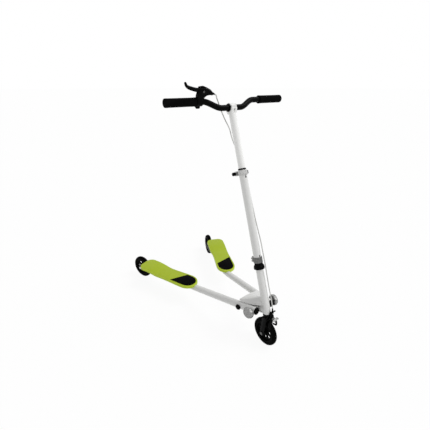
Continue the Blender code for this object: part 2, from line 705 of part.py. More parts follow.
def add_fork(steer):
    """Crown, steerer and two legs, welded."""
    size = (2 * CROWN_HALF_WIDTH, CROWN_DEPTH, CROWN_HEIGHT)
    crown = block(size, (0, 0.001, CROWN_BOTTOM + CROWN_HEIGHT / 2), 0.003, 1)
    fork = add_piece("fork", crown, BLACK_LOOK, steer)
    steerer = rod(STEERER_RADIUS, CROWN_BOTTOM + 0.004, STEM_BOTTOM + STEM_SLEEVE - 0.002, 16)
    join(fork, "steerer_tool", steerer, steer)
    axle = (WHEEL_AXLE.y, WHEEL_AXLE.z)
    for name, side in (("right", -1), ("left", 1)):
        leg = link_outline((0.002, CROWN_TOP - 0.0130), 0.0122, axle, 0.0115, 4)
        low, high = sorted((side * CROWN_HALF_WIDTH, side * (CROWN_HALF_WIDTH - LEG_THICKNESS)))
        join(fork, "fork_leg_tool_" + name, side_prism(leg, low, high), steer)
    bore = rod(STEERER_RADIUS - STEERER_WALL, CROWN_BOTTOM - 0.03, STEM_BOTTOM + STEM_SLEEVE + 0.005, 12)
    cut(fork, "steerer_bore_cutter", bore, steer)
    hole = moved(rod(AXLE_RADIUS + GAP, -0.04, 0.04, 10), (0, *axle), TO_X)
    bolt = moved(rod(CALIPER_BOLT_RADIUS + GAP, -0.03, 0.03, 10), (0, 0, CALIPER_LEVEL), TO_Y)
    cut(fork, "fork_hole_cutter", merge_shapes(hole, bolt), steer)


def add_lower_stem(steer):
    """The outer stem tube with its lower clamp and the bush at its top."""
    inside = STEM_RADIUS - STEM_WALL
    sleeve = STEERER_RADIUS + GAP
    profile = [(sleeve, STEM_BOTTOM), (STEM_RADIUS, STEM_BOTTOM), (STEM_RADIUS, STEM_TOP), (inside, STEM_TOP),
               (inside, STEM_BOTTOM + STEM_SLEEVE + 0.003), (sleeve, STEM_BOTTOM + STEM_SLEEVE)]
    tube = add_piece("lower_stem_tube", lathe(profile, 18), WHITE_LOOK, steer)
    slits = []
    ends = ((STEM_BOTTOM - 0.001, STEM_BOTTOM + SLIT_LENGTH), (STEM_TOP + 0.001, STEM_TOP - SLIT_LENGTH))
    for end, hole in ends:
        length = abs(end - hole)
        slits.append(block((SLIT_WIDTH, 0.014, length), (0, -STEM_RADIUS, (end + hole) / 2)))
        slits.append(moved(rod(SLIT_END_RADIUS, -0.007, 0.007, 10), (0, -STEM_RADIUS, hole), TO_Y))
    for index, slit in enumerate(slits):
        cut(tube, "stem_slit_cutter_%d" % index, slit, steer)

    low = STEM_BOTTOM + GAP
    bolt_places = [(CLAMP_BOLT_Y, low + CLAMP_HEIGHT * share) for share in (0.27, 0.73)]
    outline = split_clamp_outline(STEM_RADIUS + GAP, STEM_RADIUS + CLAMP_WALL, CLAMP_EAR_HALF,
                                  CLAMP_BOLT_Y + 0.005, 0.0011, 22)
    clamp = add_piece("stem_clamp", prism(outline, low, low + CLAMP_HEIGHT), (STEEL, 0.4, 1.0), steer)
    holes = [moved(rod(CLAMP_BOLT_RADIUS + GAP, -0.02, 0.02, 10), (0, *place), TO_X) for place in bolt_places]
    cut(clamp, "stem_clamp_cutter", merge_shapes(*holes), steer)
    under = -CLAMP_EAR_HALF - GAP
    outline = [(0, under - 0.005), (0.0046, under - 0.005), (0.0046, under), (CLAMP_BOLT_RADIUS, under),
               (CLAMP_BOLT_RADIUS, CLAMP_EAR_HALF - 0.0004), (0, CLAMP_EAR_HALF - 0.0004)]
    for name, place in zip(("lower", "upper"), bolt_places):
        add_piece("stem_clamp_bolt_" + name, moved(lathe(outline, 12), turn=TO_X), STEEL_LOOK, steer, (0, *place))

    low = STEM_TOP - BUSH_LENGTH
    high = STEM_TOP + GAP
    sleeve = [(UPPER_RADIUS + GAP, low), (inside - GAP, low), (inside - GAP, high), (STEM_RADIUS + 0.0006, high),
              (STEM_RADIUS, high + 0.0045), (UPPER_RADIUS + GAP, high + 0.0055)]
    add_piece("stem_bush", lathe(sleeve, 18), BLACK_LOOK, steer)


def add_height_clamp(steer):
    """Quick-release clamp at the top of the outer tube, with its rod, cam lever and pin."""
    top = STEM_TOP - HEIGHT_CLAMP_DROP
    middle = top - HEIGHT_CLAMP_HEIGHT / 2
    outline = split_clamp_outline(STEM_RADIUS + GAP, STEM_RADIUS + HEIGHT_CLAMP_WALL, EAR_HALF, ROD_Y + 0.0068,
                                  0.0011, 22)
    clamp = add_piece("height_clamp", prism(outline, top - HEIGHT_CLAMP_HEIGHT, top), SILVER_LOOK, steer)
    hole = moved(rod(ROD_RADIUS + GAP, -0.02, 0.02, 10), (0, ROD_Y, middle), TO_X)
    cut(clamp, "height_clamp_cutter", hole, steer)

    eye = 0.0045
    neck = -EAR_HALF - GAP
    nut = neck - NUT_NECK
    end = nut - NUT_LENGTH
    line = [(0, end), (0.0060, end), (0.0072, end + 0.002), (0.0072, nut), (0.0048, nut), (0.0048, neck),
            (ROD_RADIUS, neck), (ROD_RADIUS, CAM_X - 0.003), (0, CAM_X - 0.003)]
    rod_piece = add_piece("height_clamp_rod", lathe(line, 12), STEEL_LOOK, steer, (0, ROD_Y, middle),
                          (0, math.radians(90), 0))
    join(rod_piece, "clamp_rod_eye_tool", rod(eye, -0.003, 0.003, 12), steer, (CAM_X, ROD_Y, middle))
    cut(rod_piece, "clamp_rod_eye_cutter", rod(0.002 + GAP, -0.01, 0.01, 10), steer, (CAM_X, ROD_Y, middle))

    lever_frame = add_empty("height_lever_axis", steer, (CAM_X, ROD_Y, middle))
    line = [(0, 0), (0.0098, -0.0140), (0.0098, -0.0270)]
    outline = band_outline(line, [CAM_RADIUS, 0.0036, 0.0030])
    lever = add_piece("height_lever", prism(outline, -LEVER_HEIGHT / 2, LEVER_HEIGHT / 2), BLACK_LOOK,
                      lever_frame)
    slot = block((0.020, 2 * CAM_RADIUS + 0.0027, 0.0066))
    cut(lever, "height_lever_slot_cutter", slot, lever_frame)
    join(lever, "height_lever_pin_tool", rod(0.002, -0.0060, 0.0060, 10), lever_frame)


def add_upper_stem(bar):
    """The inner stem tube with the bar saddle, its cap, bolts and shim."""
    seat = BAR_RADIUS + GAP + SHIM_WALL + GAP
    low = STEM_TOP - UPPER_INSIDE - BAR_LEVEL
    foot = seat + 0.0102
    tube = add_piece("upper_stem_tube", ring(UPPER_RADIUS - UPPER_WALL, UPPER_RADIUS, low, -foot + 0.0055, 16),
                     WHITE_LOOK, bar)
    depth = SADDLE_HALF_DEPTH
    split = 2 * GAP
    outline = [(depth, -split), (depth, -0.0080), (UPPER_RADIUS - 0.0007, -foot), (-UPPER_RADIUS + 0.0007, -foot),
               (-depth, -0.0080), (-depth, -split)]
    join(tube, "saddle_tool", side_prism(outline, -SADDLE_HALF_WIDTH, SADDLE_HALF_WIDTH), bar)
    cut(tube, "saddle_bore_cutter", moved(rod(seat, -0.02, 0.02, 18), turn=TO_X), bar)

    dome = arc((0, 0), seat + CAP_WALL, 158, 22, 8)
    outline = [(-depth, split), (-depth, 0.0058)] + dome + [(depth, 0.0058), (depth, split)]
    cap = add_piece("head_clamp_cap", side_prism(outline, -SADDLE_HALF_WIDTH, SADDLE_HALF_WIDTH), WHITE_LOOK,
                    bar)
    cut(cap, "cap_bore_cutter", moved(rod(seat, -0.02, 0.02, 18), turn=TO_X), bar)

    shanks, pockets = [], []
    radius = SADDLE_BOLT_RADIUS
    line = [(0, -0.0116), (0.0040, -0.0116), (0.0040, -0.0066 - GAP), (radius, -0.0066 - GAP), (radius, 0.0036),
            (0, 0.0036)]
    for name, y in (("front", -SADDLE_BOLT_Y), ("rear", SADDLE_BOLT_Y)):
        shanks.append(moved(rod(radius + GAP, -0.012, 0.004, 10), (0, y, 0)))
        pockets.append(moved(rod(0.0045, -0.030, -0.0066, 12), (0, y, 0)))
        add_piece("head_clamp_bolt_" + name, lathe(line, 10), STEEL_LOOK, bar, (0, y, 0))
    cut(cap, "head_bolt_cutter", merge_shapes(*shanks), bar)
    combine(tube, bpy.data.objects["head_bolt_cutter"], "DIFFERENCE")
    cut(tube, "head_bolt_pocket_cutter", merge_shapes(*pockets), bar)

    inner, outer = BAR_RADIUS + GAP, BAR_RADIUS + GAP + SHIM_WALL
    edge = SADDLE_HALF_WIDTH + GAP
    profile = [(inner, -edge - 0.004), (outer + 0.0018, -edge - 0.004), (outer + 0.0018, -edge), (outer, -edge),
               (outer, edge), (outer + 0.0018, edge), (outer + 0.0018, edge + 0.004), (inner, edge + 0.004)]
    add_piece("bar_shim", moved(lathe(profile, 18), turn=TO_X), BLACK_LOOK, bar)


def bar_point(x):
    """Where the middle of the bar tube is, at a distance from the middle of the scooter."""
    share = min(max((abs(x) - BEND_START) / (BEND_END - BEND_START), 0), 1)
    ease = share * share * (3 - 2 * share)
    return Vector((x, BAR_SWEEP * ease, BAR_RISE * ease))


def add_handlebar(bar):
    """The bent bar and its two grips."""
    bend = [BEND_START + (BEND_END - BEND_START) * step / 4 for step in range(5)]
    half = bend + [BAR_HALF_WIDTH]
    path = [bar_point(-x) for x in half[::-1]] + [bar_point(x) for x in half]
    add_piece("handlebar", sweep(path, BAR_RADIUS, BAR_RADIUS - BAR_WALL, 10), (BLACK, 0.25, 0.0), bar)

    inner = BAR_RADIUS + GAP
    end = GRIP_LENGTH + 0.0035
    rim = GRIP_RADIUS + 0.0004
    profile = [(inner, 0), (rim, 0), (rim, 0.004), (GRIP_RADIUS, 0.006), (GRIP_RADIUS, end - 0.002),
               (GRIP_RADIUS - 0.002, end), (0, end), (0, GRIP_LENGTH + GAP), (inner, GRIP_LENGTH + GAP)]
    for name, side in (("right", -1), ("left", 1)):
        start = bar_point(side * (BAR_HALF_WIDTH - GRIP_LENGTH))
        turn = (0, math.radians(90 * side), 0)
        add_piece("grip_" + name, lathe(profile, 18), (RUBBER, 0.7, 0.0), bar, start, turn)


def add_brake_lever(bar):
    """Bracket, blade and their bolts, on the rider's right, tilted up in front of the bar."""
    frame = add_empty("brake_lever_frame", bar, bar_point(-LEVER_PLACE), (LEVER_TILT, 0, 0))
    inner = BAR_RADIUS + GAP
    outer = inner + BRACKET_WALL
    half = BRACKET_WIDTH / 2
    cheek = BRACKET_THICKNESS / 2
    body = [(-0.0135, 0.0120), (-0.0160, 0.0235), (-0.0160, 0.0575), (0.0028, 0.0600), (0.0207, 0.0539),
            (0.0397, 0.0454), (0.0490, 0.0380), (0.0460, 0.0296), (0.0340, 0.0312), (0.0222, 0.0290),
            (0.0155, 0.0226), (0.0140, 0.0120), (half, 0.009), (-half, 0.009)]
    bracket = add_piece("brake_bracket", front_prism(body, -cheek, cheek), BLACK_LOOK, frame)
    collar = moved(ring(inner, outer, -half, half, 16), turn=TO_X)
    join(bracket, "bracket_collar_tool", collar, frame)
    ear = block((0.016, 0.016, 0.011), (0, 0, -outer - 0.0035), 0.002, 1)
    join(bracket, "bracket_ear_tool", ear, frame)
    cut(bracket, "bracket_bore_cutter", moved(rod(inner, -0.02, 0.02, 16), turn=TO_X), frame)
    cut(bracket, "bracket_slit_cutter", block((0.03, 0.0018, 0.020), (0, 0, -outer - 0.002)), frame)
    slot = [(-0.030, 0.0290), (-0.030, 0.0700), (0.0125, 0.0700), (0.0125, 0.0400), (0.0040, 0.0365)]
    gap = LEVER_THICKNESS / 2 + RUN
    cut(bracket, "bracket_slot_cutter", front_prism(slot, -gap, gap), frame)

    radius = LEVER_BOLT_RADIUS
    line = [(0, -cheek - 0.0032), (0.0040, -cheek - 0.0032), (0.0040, -cheek - GAP), (radius, -cheek - GAP),
            (radius, cheek - 0.0002), (0, cheek - 0.0002)]
    place = (LEVER_PIVOT[0], 0, LEVER_PIVOT[1])
    hole = moved(rod(radius + GAP, -0.02, 0.02, 10), place, TO_Y)
    cut(bracket, "bracket_hole_cutter", hole, frame)
    add_piece("brake_lever_pin", moved(lathe(line, 10), turn=TO_Y), STEEL_LOOK, frame, place)

    axis = add_empty("brake_lever_axis", frame, place)
    line = [(0, 0), (-0.020, 0.0010), (-0.035, 0.0035), (-0.057, 0.0098), (-0.070, 0.0165), (-0.077, 0.0265)]
    widths = [0.0085, 0.0070, 0.0065, 0.0060, 0.0048, 0.0040]
    blade = band_outline(line, widths, 2, 4)
    lever = add_piece("brake_lever", front_prism(blade, -LEVER_THICKNESS / 2, LEVER_THICKNESS / 2), BLACK_LOOK,
                      axis)
    hole = moved(rod(radius + GAP, -0.02, 0.02, 10), turn=TO_Y)
    cut(lever, "lever_hole_cutter", hole, axis)

    wire = 0.0013
    adjuster = [(wire, 0), (0.0042, 0), (0.0042, 0.005), (0.0032, 0.0062), (0.0032, ADJUSTER_LENGTH),
                (wire, ADJUSTER_LENGTH)]
    add_piece("lever_adjuster", lathe(adjuster, 10), BLACK_LOOK, frame, ADJUSTER_PLACE, (0, ADJUSTER_TURN, 0))


def caliper_front():
    """Place of the caliper's layers along Y: the back of the rear arm, and the crown's front."""
    crown_front = 0.001 - CROWN_DEPTH / 2
    return crown_front - CALIPER_BACK, crown_front


def boss_depth():
    """Place of the cable's boss along Y: it stands in front of the rear arm's back."""
    return caliper_front()[0] - GAP - BOSS_RADIUS


def add_caliper(steer):
    """Side-pull caliper in front of the crown: both cable ends are on the left."""
    level = CALIPER_LEVEL
    thick = CALIPER_ARM_THICKNESS
    back, crown_front = caliper_front()
    between = 0.0004
    front = back - 2 * thick - between
    layers = {"left": (back - thick, back), "right": (front, back - thick - between)}
    pad_face = FRONT_TYRE_WIDTH / 2 + PAD_GAP
    pad_back = pad_face + PAD_THICKNESS
    foot_half = 0.0025
    foot = pad_back + GAP + foot_half

    shank = CALIPER_BOLT_RADIUS
    bolt = [(0, -0.0215), (0.0048, -0.0215), (0.0048, -0.0160 - GAP), (shank, -0.0160 - GAP),
            (shank, -crown_front + GAP), (0.0058, -crown_front + GAP), (0.0058, -back - GAP),
            (shank, -back - GAP), (shank, -front + GAP), (0.0058, -front + GAP), (0.0058, -front + 0.0035),
            (0.0040, -front + 0.0048), (0, -front + 0.0048)]
    turn = Matrix.Rotation(math.radians(90), 3, "X")
    add_piece("caliper_bolt", moved(lathe(bolt, 10), turn=turn), STEEL_LOOK, steer, (0, 0, level))

    for name, side in (("left", 1), ("right", -1)):
        low, high = layers[name]
        middle = (low + high) / 2
        frame = add_empty("caliper_axis_" + name, steer, (0, 0, level))
        line = [(side * foot, -PAD_DROP - 0.002), (side * (foot + 0.0012), -0.026), (side * 0.0150, -0.012),
                (0, 0)]
        arm = front_prism(band_outline(line, [foot_half, 0.0045, 0.0070, 0.0075], 2, 3), low, high)
        arm = add_piece("caliper_arm_" + name, arm, BLACK_LOOK, frame)
        holes = [moved(rod(shank + GAP, low - 0.01, high + 0.01, 10), turn=TO_Y),
                 moved(rod(0.0016 + GAP, -0.06, 0.06, 8), (0, middle, -PAD_DROP), TO_X)]
        if name == "left":
            add_boss(arm, frame, low, high)
        else:
            end = ANCHOR_PLACE
            reach = band_outline([(-0.004, -0.003), (0.008, -0.0105), end], [0.0065, 0.0068, 0.0046], 2, 3)
            join(arm, "caliper_reach_tool_right", front_prism(reach, low, high), frame)
            anchor_radius = 0.0022
            hole = moved(rod(anchor_radius + GAP, low - 0.01, high + 0.01, 10), (end[0], 0, end[1]), TO_Y)
            holes.append(hole)
            anchor = [(0, low - 0.0040), (0.0040, low - 0.0040), (0.0040, low - GAP), (anchor_radius, low - GAP),
                      (anchor_radius, high - GAP), (0, high - GAP)]
            add_piece("cable_anchor", moved(lathe(anchor, 10), turn=TO_Y), STEEL_LOOK, frame,
                      (end[0], 0, end[1]))
        cut(arm, "caliper_hole_cutter_" + name, merge_shapes(*holes), frame)

        size = (PAD_THICKNESS, 0.020, 0.0085)
        pad = block(size, (side * (pad_face + pad_back) / 2, middle + 0.008, -PAD_DROP), 0.0008, 1)
        pad = add_piece("brake_pad_" + name, pad, (RUBBER, 0.8, 0.0), frame)
        start, stop = sorted((side * (pad_back - 0.001), side * (foot + foot_half + 0.002)))
        stud = moved(rod(0.0016, start, stop, 8), (0, middle, -PAD_DROP), TO_X)
        join(pad, "pad_stud_tool_" + name, stud, frame)


def add_boss(arm, frame, low, high):
    """The upper lobe of the left arm, with the cable's boss, its adjuster and its release knob."""
    lobe = link_outline((0, 0), 0.0075, (0.0010, 0.0225), 0.0072, 5)
    join(arm, "caliper_lobe_tool", front_prism(lobe, low, high), frame)
    spot = (BOSS_PLACE[0], boss_depth(), BOSS_PLACE[1])
    tilt = (0, BOSS_TILT, 0)
    inner = 0.0022
    join(arm, "adjuster_boss_tool", rod(BOSS_RADIUS, -0.0045, 0.0045, 12), frame, spot, tilt)
    knob = merge_shapes(rod(0.0015, BOSS_RADIUS - 0.001, 0.0105, 8), rod(0.0030, 0.0100, 0.0145, 10))
    join(arm, "release_knob_tool", moved(knob, turn=TO_X), frame, spot)
    cut(arm, "adjuster_boss_cutter", rod(inner + GAP, -0.02, 0.02, 10), frame, spot, tilt)
    wire = 0.0009
    tube = [(wire, -0.0060), (inner, -0.0060), (inner, 0.0050), (0.0036, 0.0050), (0.0036, 0.0090),
            (0.0030, 0.0100), (0.0030, ANCHOR_TIP), (wire, ANCHOR_TIP)]
    add_piece("caliper_adjuster", lathe(tube, 10), BLACK_LOOK, frame, spot, tilt)


def add_cable(steer, cable_start, cable_heading):
    """The outer casing of the brake cable, from the lever round the stem to the caliper."""
    heading = Vector((math.sin(BOSS_TILT), 0, math.cos(BOSS_TILT)))
    boss = Vector((BOSS_PLACE[0], boss_depth(), CALIPER_LEVEL + BOSS_PLACE[1]))
    end = boss + heading * (ANCHOR_TIP + 2 * GAP)
    route = [cable_start, cable_start + cable_heading * 0.003, cable_start + cable_heading * 0.008,
             (-0.0575, 0.0020, 0.9915), (-0.0410, 0.0190, 0.9770), (-0.0280, 0.0300, 0.9560),
             (-0.0090, 0.0400, 0.9200), (0.0030, 0.0380, 0.8850), (0.0038, 0.0335, 0.8470),
             (0.0100, 0.0265, 0.8000), (0.0165, 0.0185, 0.7550), (0.0203, 0.0105, 0.7250),
             (0.0208, 0.0085, 0.7000), (0.0202, 0.0040, 0.6780), (0.0192, 0.0020, 0.6550),
             (0.0192, -0.0002, 0.5890), (0.0175, -0.0085, 0.5000), (0.0155, -0.0195, 0.4200),
             (0.0125, -0.0245, 0.3750), (0.0115, -0.0265, 0.3450), (0.0125, -0.0262, 0.3150),
             (0.0130, -0.0245, 0.2800), (0.0136, -0.0235, 0.2300), (0.0143, -0.0240, 0.1720),
             end + heading * 0.010, end]
    points = smooth_curve(route, 2)
    curve = bpy.data.curves.new("brake_cable", "CURVE")
    curve.dimensions = "3D"
    curve.bevel_depth = CABLE_RADIUS
    curve.bevel_resolution = 1
    curve.use_fill_caps = True
    line = curve.splines.new("POLY")
    line.points.add(len(points) - 1)
    for knot, spot in zip(line.points, points):
        knot.co = (*spot, 1.0)
    curve.materials.append(make_material("brake_cable", (0.62, 0.62, 0.60), 0.5))
    cable = bpy.data.objects.new("brake_cable", curve)
    cable.parent = steer
    bpy.context.scene.collection.objects.link(cable)


def arm_path(side):
    """Middle line of an arm tube: a sloping run, a bend, and a level run under the deck."""
    slope_run = Vector((0, math.cos(ARM_SLOPE), -math.sin(ARM_SLOPE)))
    spot = Vector((side * ARM_OFFSET, ARM_FRONT, tube_height(ARM_FRONT)))
    path = [spot, spot + slope_run * ARM_STRAIGHT]
    steps = 3
    for step in range(steps):
        share = (step + 0.5) / steps
        out = ARM_BEND_OUT * share
        down = ARM_SLOPE * (1 - share)
        level = math.cos(down)
        heading = Vector((side * math.sin(out) * level, math.cos(out) * level, -math.sin(down)))
        path.append(path[-1] + heading * (ARM_BEND_LENGTH / steps))
    level_run = Vector((side * math.sin(ARM_BEND_OUT), math.cos(ARM_BEND_OUT), 0))
    bend_end = path[-1]
    path.append(bend_end + level_run * SPINE_LENGTH)
    return path, bend_end, level_run


def add_arm(side, name, scooter):
    """One swinging arm with its tube, knuckle, knob, deck and wheel."""
    arm = add_empty("arm_axis_" + name, scooter, (side * PIVOT_X, PIVOT_Y, 0), (0, 0, -side * ARM_SPLAY))
    path, bend_end, level_run = arm_path(side)
    tube = add_piece("arm_tube_" + name, sweep(path, ARM_RADIUS, ARM_RADIUS - ARM_WALL, 12), WHITE_LOOK, arm)

    knob_spot = (0, KNOB_PLACE, tube_height(KNOB_PLACE))
    bolt_spot = (0, ARM_BOLT_PLACE, tube_height(ARM_BOLT_PLACE))
    stud = AXLE_RADIUS
    holes = [moved(rod(stud + GAP, -0.08, 0.08, 10), spot, TO_X) for spot in (knob_spot, bolt_spot)]
    combine(tube, add_tool("arm_hole_cutter_" + name, merge_shapes(*holes), arm), "DIFFERENCE")

    plug_turn = (math.radians(90) - ARM_SLOPE, 0, 0)
    inside = ARM_RADIUS - ARM_WALL
    plug = [(0, -0.008), (inside - 0.0012, -0.008), (inside - 0.0010, GAP), (ARM_RADIUS, GAP),
            (ARM_RADIUS - 0.0006, 0.0030), (ARM_RADIUS - 0.003, 0.0042), (0, 0.0046)]
    add_piece("arm_plug_" + name, lathe(plug, 14), BLACK_LOOK, arm, path[0], plug_turn)

    add_knuckle(side, name, arm)
    add_arm_fasteners(side, name, arm, knob_spot, bolt_spot, stud)

    turn = (0, 0, -side * ARM_BEND_OUT)
    spine = add_empty("spine_frame_" + name, arm, (bend_end.x, bend_end.y, 0), turn)
    deck = add_deck(side, name, spine, bend_end.z)
    room = (ARM_RADIUS + GAP) / math.cos(math.pi / 12)
    hollow = sweep(path[:-1] + [path[-1] + level_run * 0.01], room, None, 12)
    cut(deck, "deck_tube_cutter_" + name, hollow, arm)
    add_wheel_bracket(name, spine, bend_end.z, tube, deck)

    axle_spot = bend_end + level_run * AXLE_BEHIND_BEND
    wheel = add_empty("rear_wheel_axis_" + name, arm, (axle_spot.x, axle_spot.y, 0), turn)
    outside = BRACKET_INSIDE + BRACKET_PLATE
    windows = (REAR_WINDOWS, math.pi / REAR_WINDOWS)
    add_wheel("rear", "_" + name, REAR_TYRE_WIDTH, windows, BRACKET_INSIDE, outside, wheel)


def add_knuckle(side, name, arm):
    """The barrel that turns on the pivot bolt, with the cheek that the tube is bolted to."""
    cheek_out = ARM_OFFSET - ARM_RADIUS - GAP
    cheek_in = cheek_out - CHEEK_THICKNESS
    barrel = rod(KNUCKLE_RADIUS, KNUCKLE_BOTTOM, KNUCKLE_TOP, 14)
    knuckle = add_piece("arm_knuckle_" + name, barrel, STEEL_LOOK, arm)
    low, high = sorted((side * cheek_in, side * cheek_out))
    front, back = tube_height(CHEEK_FRONT), tube_height(CHEEK_BACK)
    half = CHEEK_HALF
    cheek = [(CHEEK_FRONT, front - half), (CHEEK_BACK, back - half), (CHEEK_BACK, back + half),
             (CHEEK_FRONT, front + half)]
    join(knuckle, "knuckle_cheek_tool_" + name, side_prism(cheek, low, high), arm)
    middle = (KNUCKLE_BOTTOM + KNUCKLE_TOP) / 2
    size = (cheek_in - 0.003, 0.017, KNUCKLE_TOP - KNUCKLE_BOTTOM - 0.008)
    bridge = block(size, (side * (cheek_in + 0.005) / 2, 0, middle))
    join(knuckle, "knuckle_bridge_tool_" + name, bridge, arm)
    bore = rod(PIVOT_BOLT_RADIUS + GAP, KNUCKLE_BOTTOM - 0.05, KNUCKLE_TOP + 0.05, 10)
    cut(knuckle, "knuckle_bore_cutter_" + name, bore, arm)
    combine(knuckle, bpy.data.objects["arm_hole_cutter_" + name], "DIFFERENCE")


def add_arm_fasteners(side, name, arm, knob_spot, bolt_spot, stud):
    """The capped bolt and the hand knob that hold the tube to the knuckle."""
    outward = side * math.radians(90)
    tube_side = ARM_OFFSET + ARM_RADIUS
    cheek_in = ARM_OFFSET - ARM_RADIUS - GAP - CHEEK_THICKNESS
    cap = [(0, cheek_in - 0.0062), (stud, cheek_in - 0.0062), (stud, tube_side + RUN), (0.0118, tube_side + RUN),
           (0.0124, tube_side + 0.0030), (0.0105, tube_side + 0.0072), (0.0060, tube_side + 0.0090),
           (0, tube_side + 0.0094)]
    bolt = add_piece("arm_bolt_" + name, lathe(cap, 14), BLACK_LOOK, arm, bolt_spot, (0, outward, 0))
    nut = prism(hexagon(0.012), cheek_in - GAP - 0.005, cheek_in - GAP)
    join(bolt, "arm_bolt_nut_tool_" + name, nut, arm, bolt_spot, (0, outward, 0))

    knob_axis = add_empty("arm_knob_axis_" + name, arm, knob_spot, (0, outward, 0))
    base = tube_side + 0.0015
    rim = base + KNOB_THICKNESS
    hub = 0.0088
    knob = [(0, cheek_in + 0.0005), (stud, cheek_in + 0.0005), (stud, base - 0.001), (hub, base - 0.001),
            (hub, base + 0.012), (0.0185, base + 0.013), (KNOB_RADIUS, base + 0.003),
            (KNOB_RADIUS, rim - 0.006), (KNOB_RADIUS - 0.004, rim - 0.001), (0, rim)]

    def flute(radius, angle):
        if radius < KNOB_RADIUS - 0.0001:
            return radius
        return radius - 0.0009 * (1 + math.cos(KNOB_LOBES * angle))

    add_piece("arm_knob_" + name, lathe(knob, 2 * KNOB_LOBES, flute), SILVER_LOOK, knob_axis)


def ease_between(start, end, share):
    """A value that leaves the start and reaches the end gently."""
    share = min(max(share, 0), 1)
    return start + (end - start) * share * share * (3 - 2 * share)


def deck_halves(y):
    """Half-widths of a deck's straight part on its inner and outer side."""
    halves = []
    for waist, heel in zip(WAIST_HALVES, HEEL_HALVES):
        if y < 0:
            halves.append(ease_between(NOSE_HALF, waist, 1 + y / (DECK_FRONT - DECK_NOSE)))
        else:
            halves.append(ease_between(waist, heel, y / (DECK_REAR - HEEL_END)))
    return halves


def deck_rise(y):
    """How far the deck's top lies above its flat part."""
    return ease_between(0, DECK_HEEL_RISE, (y - HEEL_START) / (HEEL_END - HEEL_START))


def deck_stations(inset):
    """Places along a deck with its half-widths there, drawn in by an inset."""
    nose_start = DECK_NOSE - DECK_FRONT
    stations = []
    for degrees in (10, 28, 46, 64, 80):
        angle = math.radians(degrees)
        half = (NOSE_HALF - inset) * math.sin(angle) ** 0.95
        stations.append((nose_start - (DECK_NOSE - inset) * math.cos(angle), half, half))
    heel_start = DECK_REAR - DECK_HEEL_RADIUS
    level = [nose_start, nose_start / 2, 0, HEEL_START, 0.055, 0.080, HEEL_END, heel_start]
    for y in level:
        stations.append((y, *(half - inset for half in deck_halves(y))))
    corner = DECK_HEEL_RADIUS - inset
    for degrees in (25, 48, 68, 85):
        angle = math.radians(degrees)
        draw = inset + corner * (1 - math.cos(angle))
        y = heel_start + corner * math.sin(angle)
        stations.append((y, *(half - draw for half in deck_halves(y))))
    return stations


def deck_body(side, inset, low, high, edge):
    """A deck-shaped body between two heights that follow the heel's rise."""
    shape = bmesh.new()
    sections = []
    for y, inner, outer in deck_stations(inset):
        left, right = (inner, outer) if side > 0 else (outer, inner)
        lift = deck_rise(y)
        line = [(-left, low), (-left, high - edge), (-left + edge, high), (right - edge, high),
                (right, high - edge), (right, low)]
        if not edge:
            line = [(-left, low), (-left, high), (right, high), (right, low)]
        sections.append([shape.verts.new((x, y, z + lift)) for x, z in line])
    for here, there in zip(sections, sections[1:]):
        for index, corner in enumerate(here):
            after = (index + 1) % len(here)
            shape.faces.new((corner, here[after], there[after], there[index]))
    shape.faces.new(sections[0])
    shape.faces.new(sections[-1])
    return shape


def inlay_outline(side, inset):
    """Half-round front and a slanting rear edge."""
    nose_start = DECK_NOSE - DECK_FRONT
    half = NOSE_HALF - inset
    nose = DECK_NOSE - inset
    outline = []
    steps = 12
    for step in range(steps + 1):
        angle = math.pi * step / steps
        outline.append((-half * math.cos(angle), nose_start - nose * math.sin(angle) ** 0.9))
    rear = {-side: -INLAY_INNER, side: -INLAY_OUTER}
    draw = inset - INLAY_INSET
    outline += [(half, rear[1] - draw), (-half, rear[-1] - draw)]
    return outline


def add_deck(side, name, spine, spine_height):
    """A moulded foot deck with ribs and saddles under it, and the dark pad at its nose."""
    turn = (0, 0, -side * DECK_TURN)
    frame = add_empty("deck_frame_" + name, spine, (side * DECK_OUT, DECK_ALONG, 0), turn)
    top = spine_height + ARM_RADIUS + DECK_COVER
    bottom = top - DECK_HEIGHT
    deck = add_piece("deck_" + name, deck_body(side, 0, bottom, top, DECK_EDGE), (LIME, 0.45, 0.0), frame)
    pocket = deck_body(side, DECK_WALL, bottom - 0.01, top - DECK_PLATE, 0)
    cut(deck, "deck_pocket_cutter_" + name, pocket, frame)
    ribs = []
    for y in DECK_RIBS:
        inner, outer = deck_halves(y)
        width = inner + outer - DECK_WALL
        height = DECK_HEIGHT - DECK_PLATE + 0.0008
        middle = side * (outer - inner) / 2
        ribs.append(block((width, 0.004, height), (middle, y, bottom + deck_rise(y) + height / 2)))
    join(deck, "deck_rib_tool_" + name, merge_shapes(*ribs), frame)
    saddles = []
    for y in SADDLES:
        low = spine_height + 0.4 * ARM_RADIUS
        high = top + deck_rise(y - DECK_ALONG) - DECK_PLATE / 2 - 0.0003
        saddles.append(block((2.2 * ARM_RADIUS, 0.016, high - low), (0, y, (low + high) / 2)))
    join(deck, "deck_saddle_tool_" + name, merge_shapes(*saddles), spine)

    depth = INLAY_THICKNESS + INLAY_SINK + GAP
    recess = prism(inlay_outline(side, INLAY_INSET), top - depth, top + 0.01)
    cut(deck, "deck_recess_cutter_" + name, recess, frame)
    low = top - depth + GAP
    inlay = prism(inlay_outline(side, INLAY_INSET + RUN), low, low + INLAY_THICKNESS)
    add_piece("deck_inlay_" + name, inlay, (RUBBER, 0.6, 0.0), frame)
    return deck


